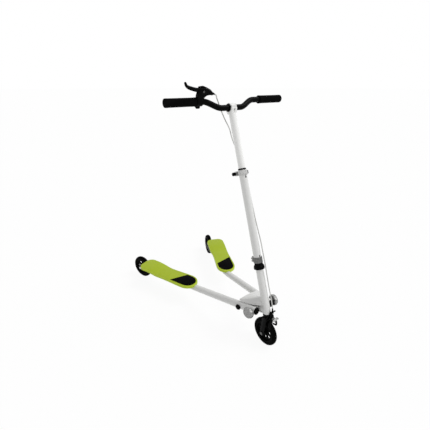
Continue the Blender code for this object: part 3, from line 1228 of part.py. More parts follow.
def add_wheel_bracket(name, spine, spine_height, tube, deck):
    """Two side plates from the end of the arm tube to the axle, with a cross plate between."""
    axle = (AXLE_BEHIND_BEND, 0)
    outside = BRACKET_INSIDE + BRACKET_PLATE
    plate = link_outline((SPINE_LENGTH - 0.045, spine_height - 0.001), BRACKET_EYE, axle, BRACKET_EYE, 5)
    size = (2 * BRACKET_INSIDE + 0.002, 0.004, 2 * ARM_RADIUS - 0.002)
    cross = block(size, (0, SPINE_LENGTH + 0.0015, spine_height - 0.001))
    join(tube, "bracket_cross_tool_" + name, cross, spine)
    for label, low, high in (("in", -outside, -BRACKET_INSIDE), ("out", BRACKET_INSIDE, outside)):
        join(tube, "bracket_plate_tool_%s_%s" % (label, name), side_prism(plate, low, high), spine)
    hole = moved(rod(AXLE_RADIUS + GAP, -0.04, 0.04, 10), (0, *axle), TO_X)
    cut(tube, "bracket_axle_cutter_" + name, hole, spine)
    wheel_room = moved(rod(WHEEL_RADIUS + WHEEL_ROOM, -outside - 0.0015, outside + 0.0015, 20), (0, *axle), TO_X)
    cut(deck, "deck_wheel_cutter_" + name, wheel_room, spine)


def build():
    """Make the whole scooter."""
    clear_scene()
    heading = ARM_SPLAY + ARM_BEND_OUT
    tread = TREAD_SHARE * REAR_TYRE_WIDTH / 2
    rear_reach = rear_axle_behind() + WHEEL_RADIUS * math.cos(heading) + tread * math.sin(heading)
    middle = (rear_reach - WHEEL_RADIUS) / 2
    scooter = add_empty("scooter", None, (0, -middle, WHEEL_RADIUS))
    head = add_empty("steering_axis", scooter, (0, -AXIS_AHEAD, 0), (-RAKE, 0, 0))
    steer = add_empty("steering", head)
    bar = add_empty("bar_slide", steer, (0, 0, BAR_LEVEL))

    add_neck(scooter, head)
    add_headset(head, steer)
    add_fork(steer)
    front = add_empty("front_wheel_axis", steer, WHEEL_AXLE, (RAKE, 0, 0))
    windows = (FRONT_WINDOWS, FRONT_WINDOW_TURN)
    add_wheel("front", "", FRONT_TYRE_WIDTH, windows, CROWN_HALF_WIDTH - LEG_THICKNESS, CROWN_HALF_WIDTH, front)
    add_lower_stem(steer)
    add_height_clamp(steer)
    add_upper_stem(bar)
    add_handlebar(bar)
    add_brake_lever(bar)
    add_caliper(steer)
    add_cable(steer, *adjuster_end())
    for side, name in ((-1, "right"), (1, "left")):
        add_arm(side, name, scooter)
    bpy.context.view_layer.update()


def rear_axle_behind():
    """Distance from the front axle back to the rear axles."""
    _, bend_end, level_run = arm_path(1)
    spot = bend_end + level_run * AXLE_BEHIND_BEND
    return PIVOT_Y + spot.y * math.cos(ARM_SPLAY) - spot.x * math.sin(ARM_SPLAY)


def adjuster_end():
    """Where the casing leaves the lever's adjuster, and its heading, in the steering frame."""
    tilt = Matrix.Rotation(LEVER_TILT, 3, "X")
    heading = tilt @ Matrix.Rotation(ADJUSTER_TURN, 3, "Y") @ Vector((0, 0, 1))
    spot = Vector((0, 0, BAR_LEVEL)) + bar_point(-LEVER_PLACE) + tilt @ Vector(ADJUSTER_PLACE)
    return spot + heading * (ADJUSTER_LENGTH + 2 * GAP), heading


build()
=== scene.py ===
"""Looks of the three-wheel kick scooter: paint, moulded plastic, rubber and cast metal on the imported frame.

The helpers for shapes and places take millimetres and make metres. A frame is a matrix: STEER follows the
steering axis up from the level of the axles, and BAR, LEVER and CALIPER are places on it.
"""

import json
import math

import bmesh
import bpy
from bpy.props import FloatProperty, FloatVectorProperty, IntProperty, PointerProperty
from mathutils import Matrix, Vector


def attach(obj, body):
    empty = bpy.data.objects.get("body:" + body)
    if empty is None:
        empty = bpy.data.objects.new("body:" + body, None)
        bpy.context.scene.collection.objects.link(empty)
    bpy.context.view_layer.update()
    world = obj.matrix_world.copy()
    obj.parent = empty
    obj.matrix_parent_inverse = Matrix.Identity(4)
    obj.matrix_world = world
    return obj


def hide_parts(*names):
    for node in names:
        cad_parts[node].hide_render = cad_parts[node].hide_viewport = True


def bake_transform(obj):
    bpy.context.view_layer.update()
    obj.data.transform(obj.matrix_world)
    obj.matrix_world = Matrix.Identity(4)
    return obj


bl_info = {
    "name": "Three-wheel kick scooter",
    "version": (1, 0, 0),
    "blender": (4, 5, 0),
    "location": "3D View > Sidebar > Scooter",
    "description": "Builds the visible pieces and finishes of a three-wheel kick scooter",
    "category": "Object",
}

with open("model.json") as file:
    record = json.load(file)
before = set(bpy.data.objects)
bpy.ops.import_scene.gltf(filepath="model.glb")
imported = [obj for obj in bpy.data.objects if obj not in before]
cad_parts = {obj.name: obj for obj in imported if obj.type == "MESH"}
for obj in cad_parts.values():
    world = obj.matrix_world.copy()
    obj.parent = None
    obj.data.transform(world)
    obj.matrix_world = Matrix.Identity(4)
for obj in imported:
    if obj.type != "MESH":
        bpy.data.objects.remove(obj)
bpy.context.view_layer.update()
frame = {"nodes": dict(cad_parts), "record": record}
RECORD = frame["record"]
NODE_BODY = {node: body for body, nodes in RECORD["behaviour"]["bodies"].items() for node in nodes}
JOINTS = {joint["name"]: joint for joint in RECORD["behaviour"]["joints"]}
SIDES = (("right", -1), ("left", 1))
MM = 0.001

# Camera, fitted to the photograph
PHOTO_SIDE = 430                # pixels
FOCAL_PIXELS = 305.3
CAMERA_PLACE = (-0.7664, -1.0996, 1.0593)
CAMERA_TILT = 90 - 23.59        # degrees from straight down
CAMERA_HEADING = -35.13
SUN_HEADING = (-0.55, 0.42, -0.95)

# Places that several pieces share, in millimetres
AXLE_LEVEL = 62.5
AXLE_HOLE = 4.3                 # radius, for the axles and the studs of the arms
RAKE = 18.9                     # of the steering axis, in degrees
BAR_HEIGHT = 957                # along the steering axis, as the next one
CROWN_HEIGHT = 87.5             # of the fork's crown and the caliper's bolt
WHEEL_PLACE = (0, 34.34, 11.76)   # the front axle from the steering axis
LEVER_PIVOT = (2, 0, 47)        # from the middle of the bar, in the lever's frame
CABLE_BOSS = (9.2, -24.6, 25)   # from the middle of the caliper's bolt
CABLE_LEAN = 8                  # degrees
ANCHOR = (26.2, 0, -9.5)        # of the cable, from the middle of the caliper's bolt
SADDLE_BOLT = 17.3              # in front of the bar and behind it
STEM_BOLTS = (("lower", 337.78), ("upper", 348.82))
STEM_BOLT_PLACE = 22.5          # behind the steering axis
ROD_PLACE = (0, 30, 704)        # the clamp's rod, in the frame of the steering axis
CAM_PLACE = (18.7, 0, 0)        # from the middle of the clamp's rod
CLAMP_BORE = 16.3
PLATES_PLACE, PLATES_SLOPE = (0, -275.51, 182.5), 13.05   # of the neck's plates
PIVOT = (16.5, -324.5, AXLE_LEVEL)
ARM_SLOPE = 12.88               # degrees
ARM_RADIUS, ARM_WALL = 16, 1.8  # of the arm tubes
REAR_AXLE = 310                 # from the end of the arm's bend
TUBE_LEVEL = 16.37              # of the level run of an arm, above the axles
ARM_MIDDLE = (33, 300, 37.05)   # on the sloping run, from the pivot
ARM_BEND = ((33, 341.51, 27.56), (33.97, 374.25, 21.36), (36.9, 407.24, 17.62), (41.81, 440.19, TUBE_LEVEL))
ARM_END = (83.22, 671, TUBE_LEVEL)
DECK_TOP, DECK_BOTTOM = 49.47, 36.47
WAIST = (45.5, 47.5)            # half-widths of a deck, inner and outer
HEEL = (52, 50)
HEEL_RISE = 8
NOSE_START = -127               # where the deck's nose begins to round, from the deck's middle
NOSE_DEPTH, NOSE_HALF = 58, 50.5
PAD_DEPTH = 1.75                # of the recess for the pad

# Steps round the ends and along the sides of flat outlines
LINK_STEPS, BAND_STEPS, END_STEPS = 18, 6, 12


class Value:
    """A number inside a material; arithmetic on it adds Math nodes."""

    def __init__(self, sheet, socket):
        self.sheet = sheet
        self.socket = socket

    def _math(self, operation, other):
        return self.sheet.node("ShaderNodeMath", {"operation": operation}, {0: self, 1: other})

    def __add__(self, other):
        return self._math("ADD", other)

    __radd__ = __add__

    def __mul__(self, other):
        return self._math("MULTIPLY", other)

    __rmul__ = __mul__

    def largest(self, other):
        """This number or the other, whichever is larger."""
        return self._math("MAXIMUM", other)

    def above(self, edge, soft):
        """0 below the edge and 1 above it, with a soft step."""
        settings = {"interpolation_type": "SMOOTHSTEP"}
        values = {"Value": self, "From Min": edge - soft, "From Max": edge + soft}
        return self.sheet.node("ShaderNodeMapRange", settings, values)


class Sheet:
    """The nodes of one material or world."""

    def __init__(self, owner):
        owner.use_nodes = True
        self.owner = owner
        self.tree = owner.node_tree
        self.shader = self.tree.nodes.get("Principled BSDF")
        if self.shader:
            self.place = self.node("ShaderNodeTexCoord", {}, {}, "Object")

    def node(self, kind, settings, values, output=0):
        """Add a node, set its options, then its sockets to numbers or links."""
        made = self.tree.nodes.new(kind)
        for name, setting in settings.items():
            setattr(made, name, setting)
        for name, value in values.items():
            self.feed(made.inputs[name], value)
        return Value(self, made.outputs[output])

    def feed(self, socket, value):
        """Link a Value into a socket, or set it to a number or a colour."""
        if isinstance(value, Value):
            self.tree.links.new(value.socket, socket)
        elif hasattr(value, "__len__") and len(value) == 3 and socket.type == "RGBA":
            socket.default_value = (*value, 1.0)
        else:
            socket.default_value = value

    def noise(self, scale, detail, roughness=0.5, distortion=0.0, vector=None):
        """Noise from 0 to 1 at a scale given in features to the metre."""
        values = {"Vector": vector or self.place, "Scale": scale, "Detail": detail, "Roughness": roughness,
                  "Distortion": distortion}
        return self.node("ShaderNodeTexNoise", {}, values)

    def cells(self, scale):
        """Distance to the nearest of many scattered points, for pores and moulded grain."""
        return self.node("ShaderNodeTexVoronoi", {}, {"Vector": self.place, "Scale": scale})

    def stretched(self, stretch):
        """Object coordinates pulled out along an axis."""
        return self.node("ShaderNodeMapping", {}, {"Vector": self.place, "Scale": stretch})

    def blend(self, share, first, second):
        """Mix two colours."""
        values = {"Factor": share, "A": first, "B": second}
        made = self.tree.nodes.new("ShaderNodeMix")
        made.data_type = "RGBA"
        for socket in made.inputs:
            if (socket.name, socket.type) in (("Factor", "VALUE"), ("A", "RGBA"), ("B", "RGBA")):
                self.feed(socket, values[socket.name])
        return Value(self, next(socket for socket in made.outputs if socket.type == "RGBA"))

    def bump(self, height, strength, distance):
        """Bump the surface by a height from 0 to 1, over a distance in metres."""
        return self.node("ShaderNodeBump", {}, {"Height": height, "Strength": strength, "Distance": distance})

    def seen(self):
        """1 for rays from the camera, a mirror or a glass, and 0 for rays that light the object."""
        camera, glossy, through = (self.node("ShaderNodeLightPath", {}, {}, "Is %s Ray" % kind)
                                   for kind in ("Camera", "Glossy", "Transmission"))
        return camera.largest(glossy).largest(through)

    def finish(self, **values):
        """Set the shader's own sockets and hand over the material."""
        for name, value in values.items():
            self.feed(self.shader.inputs[name.replace("_", " ")], value)
        return self.owner


def shaded(share, colour):
    """A colour made darker."""
    return tuple(share * part for part in colour)


def gloss_paint(sheet, colour, roughness=0.24):
    """Sprayed gloss paint: faint orange peel, dust and fine rubbed spots."""
    dust = sheet.noise(9.0, 5.0, 0.6)
    rubbed = sheet.noise(140.0, 4.0, 0.7).above(0.66, 0.05)
    peel = sheet.noise(420.0, 1.0, 0.4)
    tone = sheet.blend(dust.above(0.55, 0.2) * 0.35 + rubbed * 0.25, colour, shaded(0.90, colour))
    rough = roughness + dust * 0.08 + rubbed * 0.12
    return sheet.finish(Base_Color=tone, Roughness=rough, Coat_Weight=0.3, Coat_Roughness=0.08,
                        Normal=sheet.bump(peel, 0.12, 0.0004))


def satin_paint(sheet, colour, roughness=0.28):
    """Black powder coat: fine grain, greyed where hands and stones rub it."""
    grain = sheet.noise(1500.0, 2.0, 0.6)
    worn = sheet.noise(60.0, 6.0, 0.7).above(0.64, 0.06)
    tone = sheet.blend(worn * 0.5, colour, tuple(part + 0.006 for part in colour))
    return sheet.finish(Base_Color=tone, Roughness=roughness + grain * 0.08 + worn * 0.1,
                        Specular_IOR_Level=0.03, Normal=sheet.bump(grain, 0.12, 0.0002))


def moulded_plastic(sheet, colour, roughness=0.42, grain_scale=1400.0, wear=0.25, specular=0.25):
    """Injection-moulded plastic: spark-eroded grain, slight flow clouds, scuffs on top."""
    grain = sheet.cells(grain_scale)
    clouds = sheet.noise(14.0, 3.0, 0.5)
    scuff = sheet.noise(55.0, 5.0, 0.75, 0.6, sheet.stretched((1.0, 0.25, 1.0))).above(0.64, 0.05)
    pale = tuple(min(1.0, 0.85 * part + 0.10 * wear / 0.25) for part in colour)
    tone = sheet.blend(scuff * wear, sheet.blend(clouds, colour, shaded(0.90, colour)), pale)
    return sheet.finish(Base_Color=tone, Roughness=roughness + grain * 0.10 + scuff * 0.15,
                        Specular_IOR_Level=specular, Normal=sheet.bump(grain, 0.22, 0.0003))


def lit_deck_side_plastic(sheet, colour):
    """The decks' plastic made lighter for their sides and rims: painted light where the light falls on them."""
    return moulded_plastic(sheet, tuple(min(1.0, 1.28 * part + 0.02) for part in colour), 0.36, 1400.0, 0.15)


def soft_rubber(sheet, colour, roughness):
    """Rubber: pitted skin with pale bloom and dust."""
    pits = sheet.noise(900.0, 3.0, 0.7)
    bloom = sheet.noise(22.0, 5.0, 0.6).above(0.58, 0.12)
    tone = sheet.blend(bloom * 0.6, colour, tuple(part + 0.004 for part in colour))
    return sheet.finish(Base_Color=tone, Roughness=roughness + bloom * 0.12, Specular_IOR_Level=0.01,
                        Normal=sheet.bump(pits, 0.25, 0.0003))


def cast_metal(sheet, colour, roughness, grain_scale):
    """Tumbled cast alloy: pores, cloudy sheen and darker patches at random."""
    pores = sheet.cells(grain_scale)
    clouds = sheet.noise(210.0, 5.0, 0.7)
    tone = sheet.blend(clouds.above(0.5, 0.12) * 0.75, colour, shaded(0.42, colour))
    return sheet.finish(Base_Color=tone, Metallic=0.85, Roughness=roughness + clouds * 0.18,
                        Normal=sheet.bump(pores, 0.3, 0.0003))


def plated_steel(sheet, colour, roughness=0.24):
    """Zinc-plated fastener steel: turning marks and dull spots."""
    marks = sheet.noise(1100.0, 2.0, 0.5, 0.0, sheet.stretched((1.0, 1.0, 0.15)))
    dull = sheet.noise(240.0, 4.0, 0.6).above(0.6, 0.1)
    return sheet.finish(Base_Color=sheet.blend(dull * 0.6, colour, shaded(0.6, colour)), Metallic=1.0,
                        Roughness=roughness + dull * 0.25 + marks * 0.08, Normal=sheet.bump(marks, 0.1, 0.0001))


def casing_plastic(sheet, colour):
    """Extruded cable casing: smooth, with faint winding marks and grime."""
    grime = sheet.noise(70.0, 4.0, 0.6)
    return sheet.finish(Base_Color=sheet.blend(grime.above(0.55, 0.15) * 0.6, colour, shaded(0.8, colour)),
                        Roughness=0.32 + grime * 0.15, Normal=sheet.bump(grime, 0.05, 0.0002))


# Each look: its maker, the panel's colour and the share of it, then the maker's settings
LOOKS = {
    "white_gloss": (gloss_paint, "paint", 1.0),
    # The neck, lower stem tube and arms wear the same white paint as the rest, darkened by their share as painted
    # shade.
    "neck_gloss": (gloss_paint, "paint", 0.84, 0.3),
    "stem_gloss": (gloss_paint, "paint", 0.84, 0.22),
    "arm_gloss": (gloss_paint, "paint", 0.78, 0.3),
    "black_coat": (satin_paint, "black", 1.0),
    "lever_black": (satin_paint, "black", 1.0, 0.4),
    "tyre": (soft_rubber, "tyre", 1.0, 0.5),
    "core": (moulded_plastic, "black", 1.0, 0.36, 1600.0, 0.01, 0.02),
    "grip": (soft_rubber, "grip", 1.0, 0.7),
    "deck": (moulded_plastic, "deck", 1.0),
    # The decks' sides take a lighter copy of the deck plastic as painted light.
    "deck_rim": (lit_deck_side_plastic, "deck", 1.0),
    "inlay": (soft_rubber, "black", 1.0, 0.5),
    "black_plastic": (moulded_plastic, "black", 1.0, 0.34, 1600.0, 0.01, 0.03),
    "knob": (cast_metal, "alloy", 0.60, 0.42, 420.0),
    "clamp": (cast_metal, "alloy", 1.0, 0.3, 900.0),
    "dark_clamp": (cast_metal, "alloy", 0.30, 0.34, 900.0),
    "steel": (plated_steel, "steel", 1.0),
    "dark_steel": (plated_steel, "steel", 0.25, 0.35),
    "casing": (casing_plastic, "casing", 1.0),
}
NODE_LOOK = {node: look for look, nodes in {
    "white_gloss": "upper_stem_tube head_clamp_cap",
    "neck_gloss": "neck_frame",
    "stem_gloss": "lower_stem_tube",
    "arm_gloss": "arm_tube_right arm_tube_left arm_knuckle_right arm_knuckle_left",
    "black_coat": "headset_upper_cup headset_lower_cup fork handlebar caliper_arm_left caliper_arm_right",
    "lever_black": "brake_bracket brake_lever",
    "tyre": "front_tyre rear_tyre_right rear_tyre_left",
    "core": "front_wheel_core rear_wheel_core_right rear_wheel_core_left",
    "grip": "grip_right grip_left brake_pad_left brake_pad_right",
    "deck": "deck_right deck_left",
    "inlay": "deck_inlay_right deck_inlay_left",
    "black_plastic": "headset_cover stem_bush bar_shim lever_adjuster caliper_adjuster arm_plug_right arm_plug_left"
                     " arm_bolt_right arm_bolt_left",
    "knob": "arm_knob_right arm_knob_left",
    "clamp": "height_clamp",
    "dark_clamp": "stem_clamp height_lever",
    "steel": "headset_bearing_lower headset_bearing_upper arm_pivot_bolt_right arm_pivot_bolt_left"
             " stem_clamp_bolt_lower stem_clamp_bolt_upper height_clamp_rod head_clamp_bolt_front"
             " head_clamp_bolt_rear cable_anchor rear_axle_right rear_axle_left",
    "dark_steel": "front_axle brake_lever_pin caliper_bolt",
    "casing": "brake_cable",
}.items() for node in nodes.split()}


FINISHES = {}


def finish(look):
    """The material of this look, made once from the panel's colours."""
    if look not in FINISHES:
        maker, colour, share, *settings = LOOKS[look]
        # The share darkens the panel's colour; for the neck, stem and arm paints that darkening is painted shade.
        colour = shaded(share, getattr(bpy.context.scene.scooter_colours, colour))
        FINISHES[look] = maker(Sheet(bpy.data.materials.new(look)), colour, *settings)
    return FINISHES[look]


def at(x, y, z):
    """A frame moved to a point."""
    return Matrix.Translation([MM * part for part in (x, y, z)])


def turn(degrees, axis):
    """A frame turned about an axis."""
    return Matrix.Rotation(math.radians(degrees), 4, axis)


def sealed(shape, within=0.00001):
    """Merge doubles, drop loose edges and turn the faces outwards."""
    bmesh.ops.remove_doubles(shape, verts=shape.verts, dist=within)
    bmesh.ops.delete(shape, geom=[edge for edge in shape.edges if edge.is_wire], context="EDGES")
    bmesh.ops.recalc_face_normals(shape, faces=shape.faces)
    return shape


def moved(shape, matrix):
    """Put a bmesh in place."""
    bmesh.ops.transform(shape, matrix=matrix, verts=shape.verts)
    return shape


def rounded(shape, geom, offset, segments, affect="EDGES"):
    """Bevel edges or corners round, by an offset in metres."""
    bmesh.ops.bevel(shape, geom=geom, offset=offset, segments=segments, profile=0.5, affect=affect, material=-1,
                    clamp_overlap=True)
    return shape


def add_piece(node, shape, place=Matrix(), look=None, label="piece", sharp=35.0, across=None):
    """Show a bmesh, put in a frame, in place of a CAD node; on the node's body, or left unparented where it stands
    when across is given.
    """
    sealed(moved(shape, place))
    name = node + "_" + label
    mesh = bpy.data.meshes.new(name)
    shape.to_mesh(mesh)
    shape.free()
    mesh.shade_smooth()
    mesh.set_sharp_from_angle(angle=math.radians(sharp))
    mesh.materials.append(finish(look or NODE_LOOK[node]))
    piece = bpy.data.objects.new(name, mesh)
    bpy.context.scene.collection.objects.link(piece)
    if across:
        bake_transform(piece)
    else:
        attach(piece, NODE_BODY[node])
    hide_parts(node)
    return piece


def softened(shape, offset, sharp=30.0):
    """Ease the edges that turn by more than an angle."""
    edges = [edge for edge in shape.edges
             if len(edge.link_faces) == 2 and edge.calc_face_angle() > math.radians(sharp)]
    return rounded(shape, edges, offset * MM, 2)


def ease_nodes(*nodes, bevel):
    """CAD nodes again, smooth round their curves and with eased edges."""
    for node in nodes:
        shape = bmesh.new()
        shape.from_mesh(frame["nodes"][node].data)
        bmesh.ops.remove_doubles(shape, verts=shape.verts, dist=0.00001)
        bmesh.ops.dissolve_limit(shape, angle_limit=math.radians(0.8), verts=shape.verts, edges=shape.edges)
        if bevel:
            softened(shape, bevel, 38.0)
        add_piece(node, shape)


def side_on(shape):
    """Lay a solid that was raised from a (y, z) outline along X."""
    return moved(shape, Matrix(((0, 0, 1, 0), (1, 0, 0, 0), (0, 1, 0, 0), (0, 0, 0, 1))))


def front_on(shape):
    """Lay a solid that was raised from an (x, z) outline along Y."""
    return sealed(moved(shape, Matrix(((1, 0, 0, 0), (0, 0, 1, 0), (0, 1, 0, 0), (0, 0, 0, 1)))))


def turned(profile, steps, closed=True):
    """Spin a profile of (radius, height) points about Z; an open one runs from axis to axis."""
    shape = bmesh.new()
    points = [shape.verts.new((radius * MM, 0, height * MM)) for radius, height in profile]
    pairs = list(zip(points, points[1:]))
    if closed:
        pairs.append((points[-1], points[0]))
    edges = [shape.edges.new(pair) for pair in pairs]
    bmesh.ops.spin(shape, geom=points + edges, cent=(0, 0, 0), axis=(0, 0, 1), angle=math.tau, steps=steps,
                   use_merge=True)
    return sealed(shape)


def both_ends(profile):
    """A profile and its mirror image below."""
    return profile + [(radius, -height) for radius, height in profile[::-1]]


def screw(shank, head, socket, end, floor, seat, tip, steps=32):
    """A bolt along Z whose head, with a round socket, points down."""
    return turned([(0, floor), (socket, floor), (socket, end), (head - 0.4, end), (head, end + 0.4), (head, seat),
                   (shank, seat), (shank, tip), (0, tip)], steps, False)


def fluted(shape, least, depth, lobes):
    """Press hollows into the rim of a turned shape, outside a radius."""
    for corner in shape.verts:
        radius = corner.co.xy.length
        if radius > least * MM:
            angle = math.atan2(corner.co.y, corner.co.x)
            corner.co.xy *= 1 - depth * MM * (1 + math.cos(lobes * angle)) / radius
    return shape


def cylinder(radius, low, high, steps=48, place=Matrix()):
    """A plain rod along the Z of a frame, to join or cut with."""
    shape = bmesh.new()
    bmesh.ops.create_cone(shape, cap_ends=True, segments=steps, radius1=radius * MM, radius2=radius * MM,
                          depth=(high - low) * MM, matrix=at(0, 0, (low + high) / 2))
    return moved(shape, place)


def block(size, place, edge=0.0):
    """A box with round edges."""
    shape = bmesh.new()
    bmesh.ops.create_cube(shape, size=1.0)
    bmesh.ops.scale(shape, vec=[MM * part for part in size], verts=shape.verts)
    if edge:
        rounded(shape, shape.edges[:], edge * MM, 3)
    return moved(shape, at(*place))


def raised(outline, low, high, rim, corner=0.0):
    """Lift a flat outline into a solid with round corners and eased rims."""
    shape = bmesh.new()
    shape.faces.new([shape.verts.new((x * MM, y * MM, low * MM)) for x, y in outline])
    if corner:
        rounded(shape, shape.verts[:], corner * MM, 6, "VERTICES")
    lifted = bmesh.ops.extrude_face_region(shape, geom=shape.faces[:])["geom"]
    tops = [part for part in lifted if isinstance(part, bmesh.types.BMVert)]
    bmesh.ops.translate(shape, vec=(0, 0, (high - low) * MM), verts=tops)
    sealed(shape)
    if rim:
        rims = [edge for edge in shape.edges if edge.calc_face_angle() > 1.0
                and abs(edge.verts[0].co.z - edge.verts[1].co.z) < 0.000001]
        rounded(shape, rims, rim * MM, 3)
    return shape


def drawn(path, radius, sides):
    """Pull a round section along a path, with closed ends."""
    path = [point * MM for point in path]
    befores, afters = [path[0], *path[:-1]], [*path[1:], path[-1]]
    headings = [(after - before).normalized() for before, after in zip(befores, afters)]
    shape = bmesh.new()
    start = Matrix.Translation(path[0]) @ headings[0].to_track_quat("Z", "Y").to_matrix().to_4x4()
    bmesh.ops.create_circle(shape, cap_ends=True, segments=sides, radius=radius * MM, matrix=start)
    ring = shape.edges[:]
    for index in range(1, len(path)):
        pulled = bmesh.ops.extrude_edge_only(shape, edges=ring)["geom"]
        corners = {part for part in pulled if isinstance(part, bmesh.types.BMVert)}
        bend = headings[index - 1].rotation_difference(headings[index]).to_matrix().to_4x4()
        step = Matrix.Translation(path[index]) @ bend @ Matrix.Translation(-path[index - 1])
        bmesh.ops.transform(shape, matrix=step, verts=list(corners))
        ring = [part for part in pulled if isinstance(part, bmesh.types.BMEdge) and set(part.verts) <= corners]
    bmesh.ops.edgeloop_fill(shape, edges=ring)
    return sealed(shape)


def solved(operation, shape, *others, crossed=False):
    """Join closed bmeshes to another or cut them out of it one by one; crossed allows for folds in them."""
    for other in others:
        holders = []
        for part in (shape, other):
            mesh = bpy.data.meshes.new("solving")
            part.to_mesh(mesh)
            part.free()
            holder = bpy.data.objects.new("solving", mesh)
            bpy.context.scene.collection.objects.link(holder)
            holders.append(holder)
        step = holders[0].modifiers.new("step", "BOOLEAN")
        step.operation = operation
        step.solver = "EXACT"
        step.use_self = crossed
        step.object = holders[1]
        graph = bpy.context.evaluated_depsgraph_get()
        shape = bmesh.new()
        shape.from_mesh(holders[0].evaluated_get(graph).to_mesh())
        sealed(shape, 0.000004)
        for holder in holders:
            mesh = holder.data
            bpy.data.objects.remove(holder, do_unlink=True)
            bpy.data.meshes.remove(mesh)
    return shape


def carved(shape, *cutters, crossed=False):
    """Cut closed bmeshes out of another."""
    return solved("DIFFERENCE", shape, *cutters, crossed=crossed)


def welded(shape, *others, crossed=False):
    """Join closed bmeshes into one."""
    return solved("UNION", shape, *others, crossed=crossed)


def arc(centre, radius, start, end, steps):
    """Points on an arc, angles in degrees."""
    angles = [math.radians(start + (end - start) * step / steps) for step in range(steps + 1)]
    return [(centre[0] + radius * math.cos(angle), centre[1] + radius * math.sin(angle)) for angle in angles]


def link_outline(first, first_radius, second, second_radius):
    """The outline round two circles and their common tangents."""
    along = Vector(second) - Vector(first)
    heading = math.degrees(math.atan2(along.y, along.x))
    lean = math.degrees(math.acos((first_radius - second_radius) / along.length))
    outline = arc(first, first_radius, heading + lean, heading + 360 - lean, LINK_STEPS)
    return outline + arc(second, second_radius, heading - lean, heading + lean, LINK_STEPS)


def smooth_curve(points, steps):
    """Points on a smooth curve through the given ones."""
    knots = [Vector(point) for point in points]
    knots = [knots[0] * 2 - knots[1]] + knots + [knots[-1] * 2 - knots[-2]]
    curve = []
    for a, b, c, d in zip(knots, knots[1:], knots[2:], knots[3:]):
        for step in range(steps):
            t = step / steps
            curve.append(0.5 * (2 * b + (c - a) * t + (2 * a - 5 * b + 4 * c - d) * t ** 2
                                + (3 * b - a - 3 * c + d) * t ** 3))
    curve.append(knots[-2])
    return curve


def band_outline(points, widths):
    """The outline of a flat bar that follows a smooth line and has round ends."""
    line = smooth_curve([(x, y, width) for (x, y), width in zip(points, widths)], BAND_STEPS)
    left, right = [], []
    for index, spot in enumerate(line):
        before, after = line[max(index - 1, 0)], line[min(index + 1, len(line) - 1)]
        heading = (after - before).xy.normalized()
        aside = Vector((-heading.y, heading.x)) * spot.z
        left.append(tuple(spot.xy + aside))
        right.append(tuple(spot.xy - aside))
    outline = left[:]
    for spot, before, flank in ((line[-1], line[-2], right[::-1]), (line[0], line[1], [])):
        heading = math.degrees(math.atan2(spot.y - before.y, spot.x - before.x))
        outline += arc((spot.x, spot.y), spot.z, heading + 90, heading - 90, END_STEPS)[1:-1]
        outline += flank
    return outline


def eased(start, end, share):
    """A value that leaves the start and reaches the end gently."""
    share = min(max(share, 0.0), 1.0)
    return start + (end - start) * share * share * (3 - 2 * share)


def heel_rise(y, start=30):
    """How far the top of a deck has risen towards its heel."""
    return eased(0, HEEL_RISE, (y - start) / 80)


def bar_point(x):
    """Where the middle of the bar is, at a distance from the middle of the scooter."""
    share = eased(0, 1, (abs(x) - 45) / 75)
    return Vector((x, 7.5 * share, 28.3 * share))


TO_X = turn(90, "Y")
TO_Y = turn(-90, "X")
STEER = at(0, -428.8, AXLE_LEVEL) @ turn(-RAKE, "X")
BAR = STEER @ at(0, 0, BAR_HEIGHT)
LEVER = BAR @ at(*bar_point(-137.5)) @ turn(51.4, "X")
CALIPER = STEER @ at(0, 0, CROWN_HEIGHT)


def arm_frame(side):
    """Frame of an arm: its pivot at the level of the axles, with Y along the arm."""
    return at(side * PIVOT[0], *PIVOT[1:]) @ turn(-side * 9.37, "Z")


def spine_frame(side):
    """Frame of the level end of an arm, from the end of its bend."""
    x, y, _ = ARM_BEND[-1]
    return arm_frame(side) @ at(side * x, y, 0) @ turn(-side * 10.17, "Z")


def deck_frame(side):
    """Frame of a deck, from its middle."""
    return spine_frame(side) @ at(side * 16.87, 90.53, 0) @ turn(-side * 3.12, "Z")


class ScooterColours(bpy.types.PropertyGroup):
    """Colours of the scooter's finishes."""

    paint: FloatVectorProperty(name="Paint", description="Gloss paint of the tubes", subtype="COLOR",
                               default=(0.90, 0.90, 0.885), min=0.0, max=1.0)
    deck: FloatVectorProperty(name="Decks", description="Moulded foot decks", subtype="COLOR",
                              default=(0.39, 0.50, 0.018), min=0.0, max=1.0)
    black: FloatVectorProperty(name="Black parts", description="Powder coat and black plastic", subtype="COLOR",
                               default=(0.002, 0.002, 0.002), min=0.0, max=1.0)
    tyre: FloatVectorProperty(name="Tyres", description="Rubber of the wheels", subtype="COLOR",
                              default=(0.002, 0.002, 0.002), min=0.0, max=1.0)
    grip: FloatVectorProperty(name="Grips", description="Rubber of the handlebar grips", subtype="COLOR",
                              default=(0.0035, 0.0035, 0.0035), min=0.0, max=1.0)
    alloy: FloatVectorProperty(name="Cast metal", description="Knobs and clamps", subtype="COLOR",
                               default=(0.62, 0.62, 0.61), min=0.0, max=1.0)
    steel: FloatVectorProperty(name="Fasteners", description="Zinc-plated bolts", subtype="COLOR",
                               default=(0.52, 0.52, 0.51), min=0.0, max=1.0)
    casing: FloatVectorProperty(name="Brake cable", description="Outer casing", subtype="COLOR",
                                default=(0.62, 0.62, 0.60), min=0.0, max=1.0)


